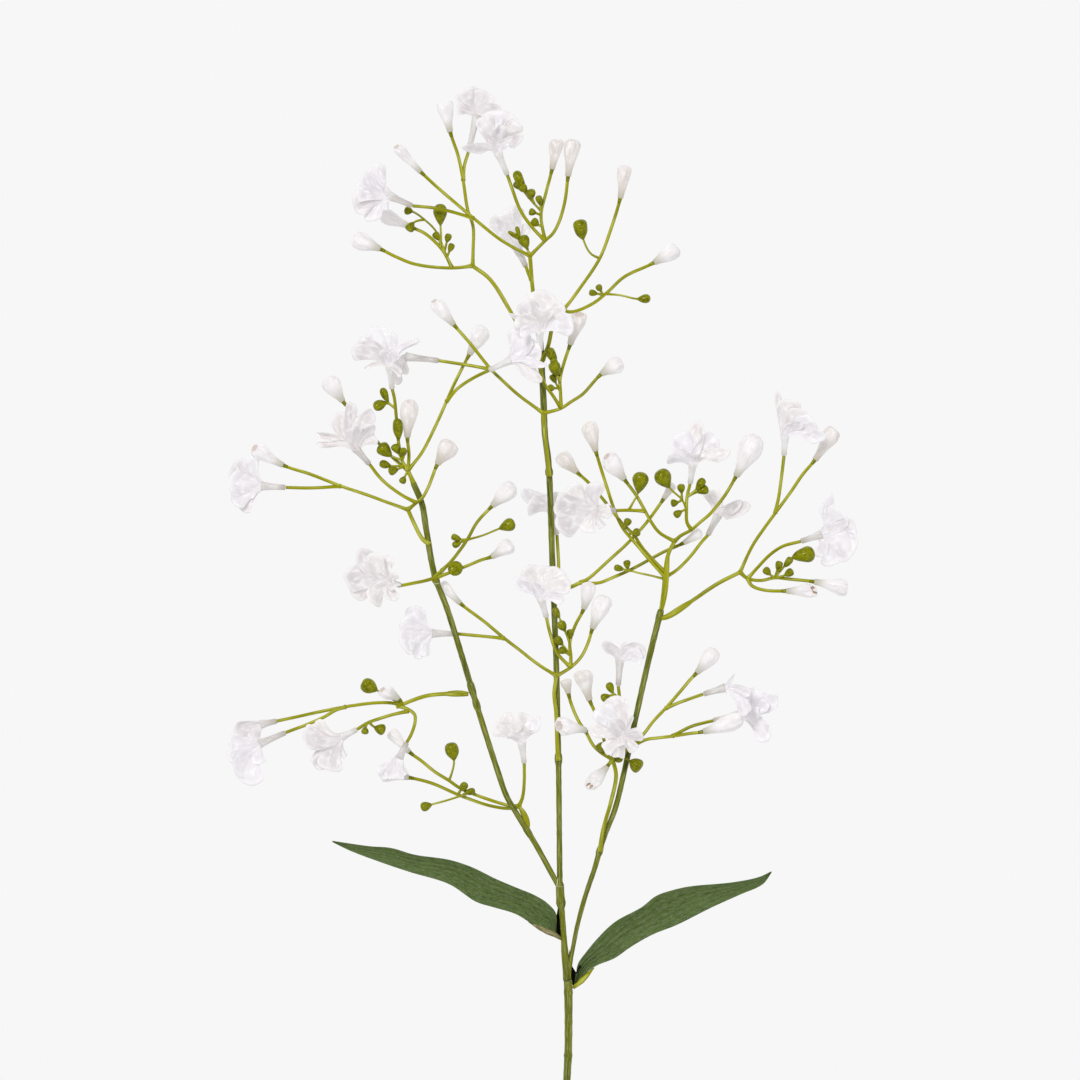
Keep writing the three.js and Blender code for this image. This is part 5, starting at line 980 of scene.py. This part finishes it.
def makePetal(bloom, index, chance):
    # Its broad side is turned up, give or take a twist, and it leaves the sleeve along aim.
    *tip, width, point = (*bloom["petals"][index], 0)[:5]
    length, heading = Vector(tip).length, Vector(tip).normalized()
    side = heading.cross(Vector((0, 0, 1))).normalized()
    side.rotate(Quaternion(heading, math.radians(chance.uniform(-1, 1) * bloomShape["twist"])))
    bow = bloom["aim"] - heading * heading.dot(bloom["aim"])
    petal = {"index": index, "length": length, "heading": heading, "side": side,
             "outward": side.cross(heading), "bow": bow * length * bloomShape["bow"],
             "spread": math.radians(width * bloomShape["spread"]),
             "cleft": chance.uniform(*bloomShape["cleft"]) * (1 - point / 2),
             "roundness": bloomShape["roundness"] + point,
             "phase": chance.uniform(0, 6.28), "ruffle": chance.uniform(*bloomShape["ruffles"]),
             "waves": chance.uniform(*bloomShape["waves"]),
             "pleats": width * chance.uniform(*bloomShape["pleats"]),
             "keel": chance.uniform(-1, 1), "middle": chance.uniform(*bloomShape["keelSide"])}
    mesh = bmesh.new()
    bmesh.ops.create_grid(mesh, x_segments=bloomShape["across"], y_segments=bloomShape["out"], size=0.5)
    layer = mesh.verts.layers.float_vector.new("flat")
    for vert in mesh.verts:
        across, out = 2 * vert.co.x, vert.co.y + 0.5
        # Flat height is zero at the rim, so the lighter foot colour paints a highlight along it.
        vert[layer] = (across * 8 + 40 * index, out * length + 7 * petal["phase"], (1 - out) * length)
        vert.co = petalPlace(petal, across, out)
    bmesh.ops.solidify(mesh, geom=mesh.faces[:], thickness=bloomShape["thickness"])
    bmesh.ops.recalc_face_normals(mesh, faces=mesh.faces[:])
    return mesh


def makeSleeve(bloom, chance):
    tube = bloom["tube"]
    side = [(radius, share * tube) for radius, share in sleeveShape["side"]]
    rim = [(radius, tube + height) for radius, height in sleeveShape["rim"]]
    sleeve = turned(sleeveShape["foot"] + side + rim, sleeveShape["sides"])
    keepFlat(sleeve, chance.uniform(0, 90))
    return sleeve


def makeBloom(bloom):
    chance, tint = Random(bloom["name"]), bloomTints[bloom["tint"]]
    foot = Vector(bloom["via"][-1]) + bloomShape["gap"] * bloom["aim"]
    throat = foot + (bloom["tube"] - bloomShape["sunk"]) * bloom["aim"]
    piece = bmesh.new()
    for index in range(len(bloom["petals"])):
        petal = makePetal(bloom, index, chance)
        petal.transform(Matrix.Translation(throat))
        addPart(piece, petal, petalCloths.index(chance.choice(tint["petals"])))
    sleeve = makeSleeve(bloom, chance)
    stood = Vector((0, 0, 1)).rotation_difference(bloom["aim"]).to_matrix().to_4x4()
    sleeve.transform(Matrix.Translation(foot) @ stood)
    addPart(piece, sleeve, len(petalCloths))
    finishPiece(bloom["name"] + "_cloth", piece,
                [materials[kind] for kind in (*petalCloths, tint["sleeve"])],
                bloom["name"])


def makeSpray(name, parts):
    chance = Random(name)
    twigs, buds = bmesh.new(), bmesh.new()
    for part in parts:
        line = smoothLine(part["via"])
        whole, kind = line["runs"][-1], part["kind"]
        foot = line["runs"][-1 - stepsPerSpan]  # a bud or a berry takes up its line's last span
        length = {"stalk": whole + twigShape["past"], "bloom": whole}.get(kind, foot + twigShape["bite"])
        addPart(twigs, makeTwig(part, line, length, chance))
        if kind == "berry":
            addPart(twigs, makeBerry(part, line, foot, whole - foot, chance), 1)
        elif kind == "bud":
            addPart(twigs, makeCap(line, length), 1)
            addPart(buds, makeBud(part, line, foot, whole - foot, chance))
        elif kind == "bloom":
            makeBloom(part)
    finishPiece(name + "_twigs", twigs, [materials["twigPlastic"], materials["berryPlastic"]],
                name)
    if len(buds.verts):
        finishPiece(name + "_buds", buds, [materials[kind] for kind in budCloths], name)
    print(name, "made")


# Leaves.

leaves = {
    "left_leaf": {
        "right": [[-3.3, 24.6, 1.2], [-3.7, 29, 2], [-7.4, 33.2, 3], [-12.6, 36.4, 4],
                  [-18.4, 38.8, 4.6], [-27.7, 42.8, 5.6], [-37, 47.4, 6.2], [-46.2, 50.4, 6],
                  [-60.2, 52.4, 4.6], [-69.5, 55, 3.2], [-78.1, 55.6, 1.6], [-93.2, 57.6, -1.6]],
        "left": [[-3.6, 21.2, 1], [-7, 22, 1.4], [-12.2, 24, 1.8], [-19.7, 28.5, 2.2],
                 [-28.4, 31.2, 2.8], [-35.6, 33.5, 3.4], [-46.2, 40.5, 4], [-62.2, 45.4, 3.2],
                 [-73.4, 49.1, 2], [-86, 53.7, -0.2], [-93, 57, -1.7]],
        "rib": [[-1.4, 18.4, 0.4], [-3, 19.6, 0.6], [-5.6, 20.9, 0.9], [-9, 22.4, 1.2],
                [-14.6, 25.4, 1.4]],
        "ribFinish": "leafFoot",
        # Near-black sheets of painted shade in the gaps between the leaf's foot and the stems.
        "shadeSheets": [([[-2.8, 31.4, -0.4], [-3.4, 28, 0], [-5, 23.4, 0.6], [-3, 19.6, 0.6]],
                    [[-2.4, 31.4, -0.4], [-1.8, 27, -0.2], [-1, 23.6, 0], [-0.8, 18.8, 0]])],
    },
    "right_leaf": {
        "left": [[3.8, 1.2, 1], [4.4, 5, 1.8], [5.2, 8.8, 2.6], [8.6, 13.6, 3.4], [12.6, 18.5, 4],
                 [19.8, 25.5, 5.4], [30.5, 31.5, 6.6], [36.4, 36.1, 7], [43.1, 38.4, 6.8],
                 [49.7, 39.8, 6.2], [67, 41.3, 3.6], [77.6, 43.3, 1.4], [82.5, 45.5, 0.4]],
        "right": [[4.4, 0.2, 1], [5.8, 2.4, 1.4], [8.2, 4.8, 1.8], [12.6, 7.9, 2.2],
                  [19.8, 10.9, 2.8], [26.5, 15.6, 3.6], [35.1, 20.5, 4.2], [44.4, 24.2, 4.4],
                  [58.3, 31.1, 3.6], [69.6, 36.1, 2], [79.2, 40.4, 0.6], [82.6, 44.9, 0.3]],
        "rib": [[3.2, -1.2, 0.4], [4.8, 0.2, 0.6], [7.2, 2.4, 0.9], [9.6, 4.9, 1.1], [11.6, 7, 1.3]],
        "ribFinish": "twigPlastic",
        # Near-black sheets of painted shade in the gaps between the leaf's foot, the branches and the stem.
        "shadeSheets": [([[1.75, 14, -0.6], [1.4, 10, -0.6], [1.5, 6, -0.6], [1.6, 2, -0.6]],
                    [[1.85, 14, -0.6], [2.2, 10, -0.6], [2.2, 6, -0.6], [2.4, 2, -0.6]]),
                   ([[2.5, 8, 0.3], [2.3, 5, 0.3], [2.4, 3, 0.3], [3.2, -0.4, 0.4]],
                    [[2.6, 8, 0.3], [4.1, 5.6, 0.5], [5.2, 4, 0.8], [4.4, -0.4, 0.6]]),
                   ([[6.6, 8, 3.3], [5.5, 6.4, 2.9], [4.8, 4.8, 2.4]],
                    [[5.9, 8.2, 3.3], [5, 6.6, 2.9], [4.4, 5, 2.4]])],
    },
}
leafShape = {"along": 110, "across": 26, "arch": -1.6, "thickness": 0.35, "crease": 0.16,
             "footCrease": 0.5, "creases": 34, "sway": 3, "sways": 5, "flatWidth": 14}
ribShape = {"sides": 14, "outline": [(0.6, 0), (1, 0.2), (1.25, 0.4), (1, 0.65), (0.2, 1)]}
shadeSheetShape = {"along": 16, "across": 4}


def makeBlade(leaf):
    right, left = smoothLine(leaf["right"]), smoothLine(leaf["left"])
    mesh = bmesh.new()
    bmesh.ops.create_grid(mesh, x_segments=leafShape["along"], y_segments=leafShape["across"], size=0.5)
    layer = mesh.verts.layers.float_vector.new("flat")
    for vert in mesh.verts:
        along, across = vert.co.x + 0.5, vert.co.y + 0.5
        place = alongLine(right, along * right["runs"][-1])[0].lerp(
            alongLine(left, along * left["runs"][-1])[0], across)
        depth = leafShape["crease"] + leafShape["footCrease"] * (1 - along) ** 3
        sway = leafShape["sway"] * math.sin(along * leafShape["sways"])
        crease = depth * math.sin(math.pi * across) * math.sin(across * leafShape["creases"] + sway)
        fold = leafShape["arch"] * math.sin(math.pi * across) * math.sin(math.pi * along)
        vert[layer] = (along * right["runs"][-1], across * leafShape["flatWidth"], 1)
        vert.co = place + Vector((0, 0, fold + crease))
    bmesh.ops.solidify(mesh, geom=mesh.faces[:], thickness=leafShape["thickness"])
    bmesh.ops.recalc_face_normals(mesh, faces=mesh.faces[:])
    return mesh


def makeShadeSheet(first, second):
    # A near-black sheet between two lines: painted shade where the leaf's foot meets the stems.
    left, right = smoothLine(first), smoothLine(second)
    mesh = bmesh.new()
    bmesh.ops.create_grid(mesh, x_segments=shadeSheetShape["along"], y_segments=shadeSheetShape["across"], size=0.5)
    for vert in mesh.verts:
        along, across = vert.co.x + 0.5, vert.co.y + 0.5
        vert.co = alongLine(left, along * left["runs"][-1])[0].lerp(
            alongLine(right, along * right["runs"][-1])[0], across)
    keepFlat(mesh)
    bmesh.ops.solidify(mesh, geom=mesh.faces[:], thickness=leafShape["thickness"])
    bmesh.ops.recalc_face_normals(mesh, faces=mesh.faces[:])
    return mesh


def makeRib(points):
    # The thick foot of the leaf, which runs out in its blade.
    line = smoothLine(points)
    length = line["runs"][-1]
    outline = [(radius, share * length) for radius, share in ribShape["outline"]]
    rib = turned([(0, 0), *outline, (0, length)], ribShape["sides"])
    keepFlat(rib)
    bendAlong(rib, line)
    return rib


def makeLeaves():
    for name, leaf in leaves.items():
        piece = bmesh.new()
        addPart(piece, makeBlade(leaf))
        addPart(piece, makeRib(leaf["rib"]), 1)
        # The sheets of painted shade between the leaf's foot and the stems.
        for first, second in leaf["shadeSheets"]:
            addPart(piece, makeShadeSheet(first, second), 2)
        finishPiece(name + "_cloth", piece,
                    [materials[kind] for kind in ("leafCloth", leaf["ribFinish"], "paintedShadeCloth")],
                    name)
    print("leaves made")


# The whole scene.

makeCamera()
makeFloor()
makeLights()
print("camera, floor and lights set")
mottleGroup = makeMottle()
materials = {name: mottled(name, setup) for name, setup in finishes.items()}
print(len(materials), "materials made")
makeStems()
makeLeaves()
for name, parts in sprays.items():
    makeSpray(name, parts)
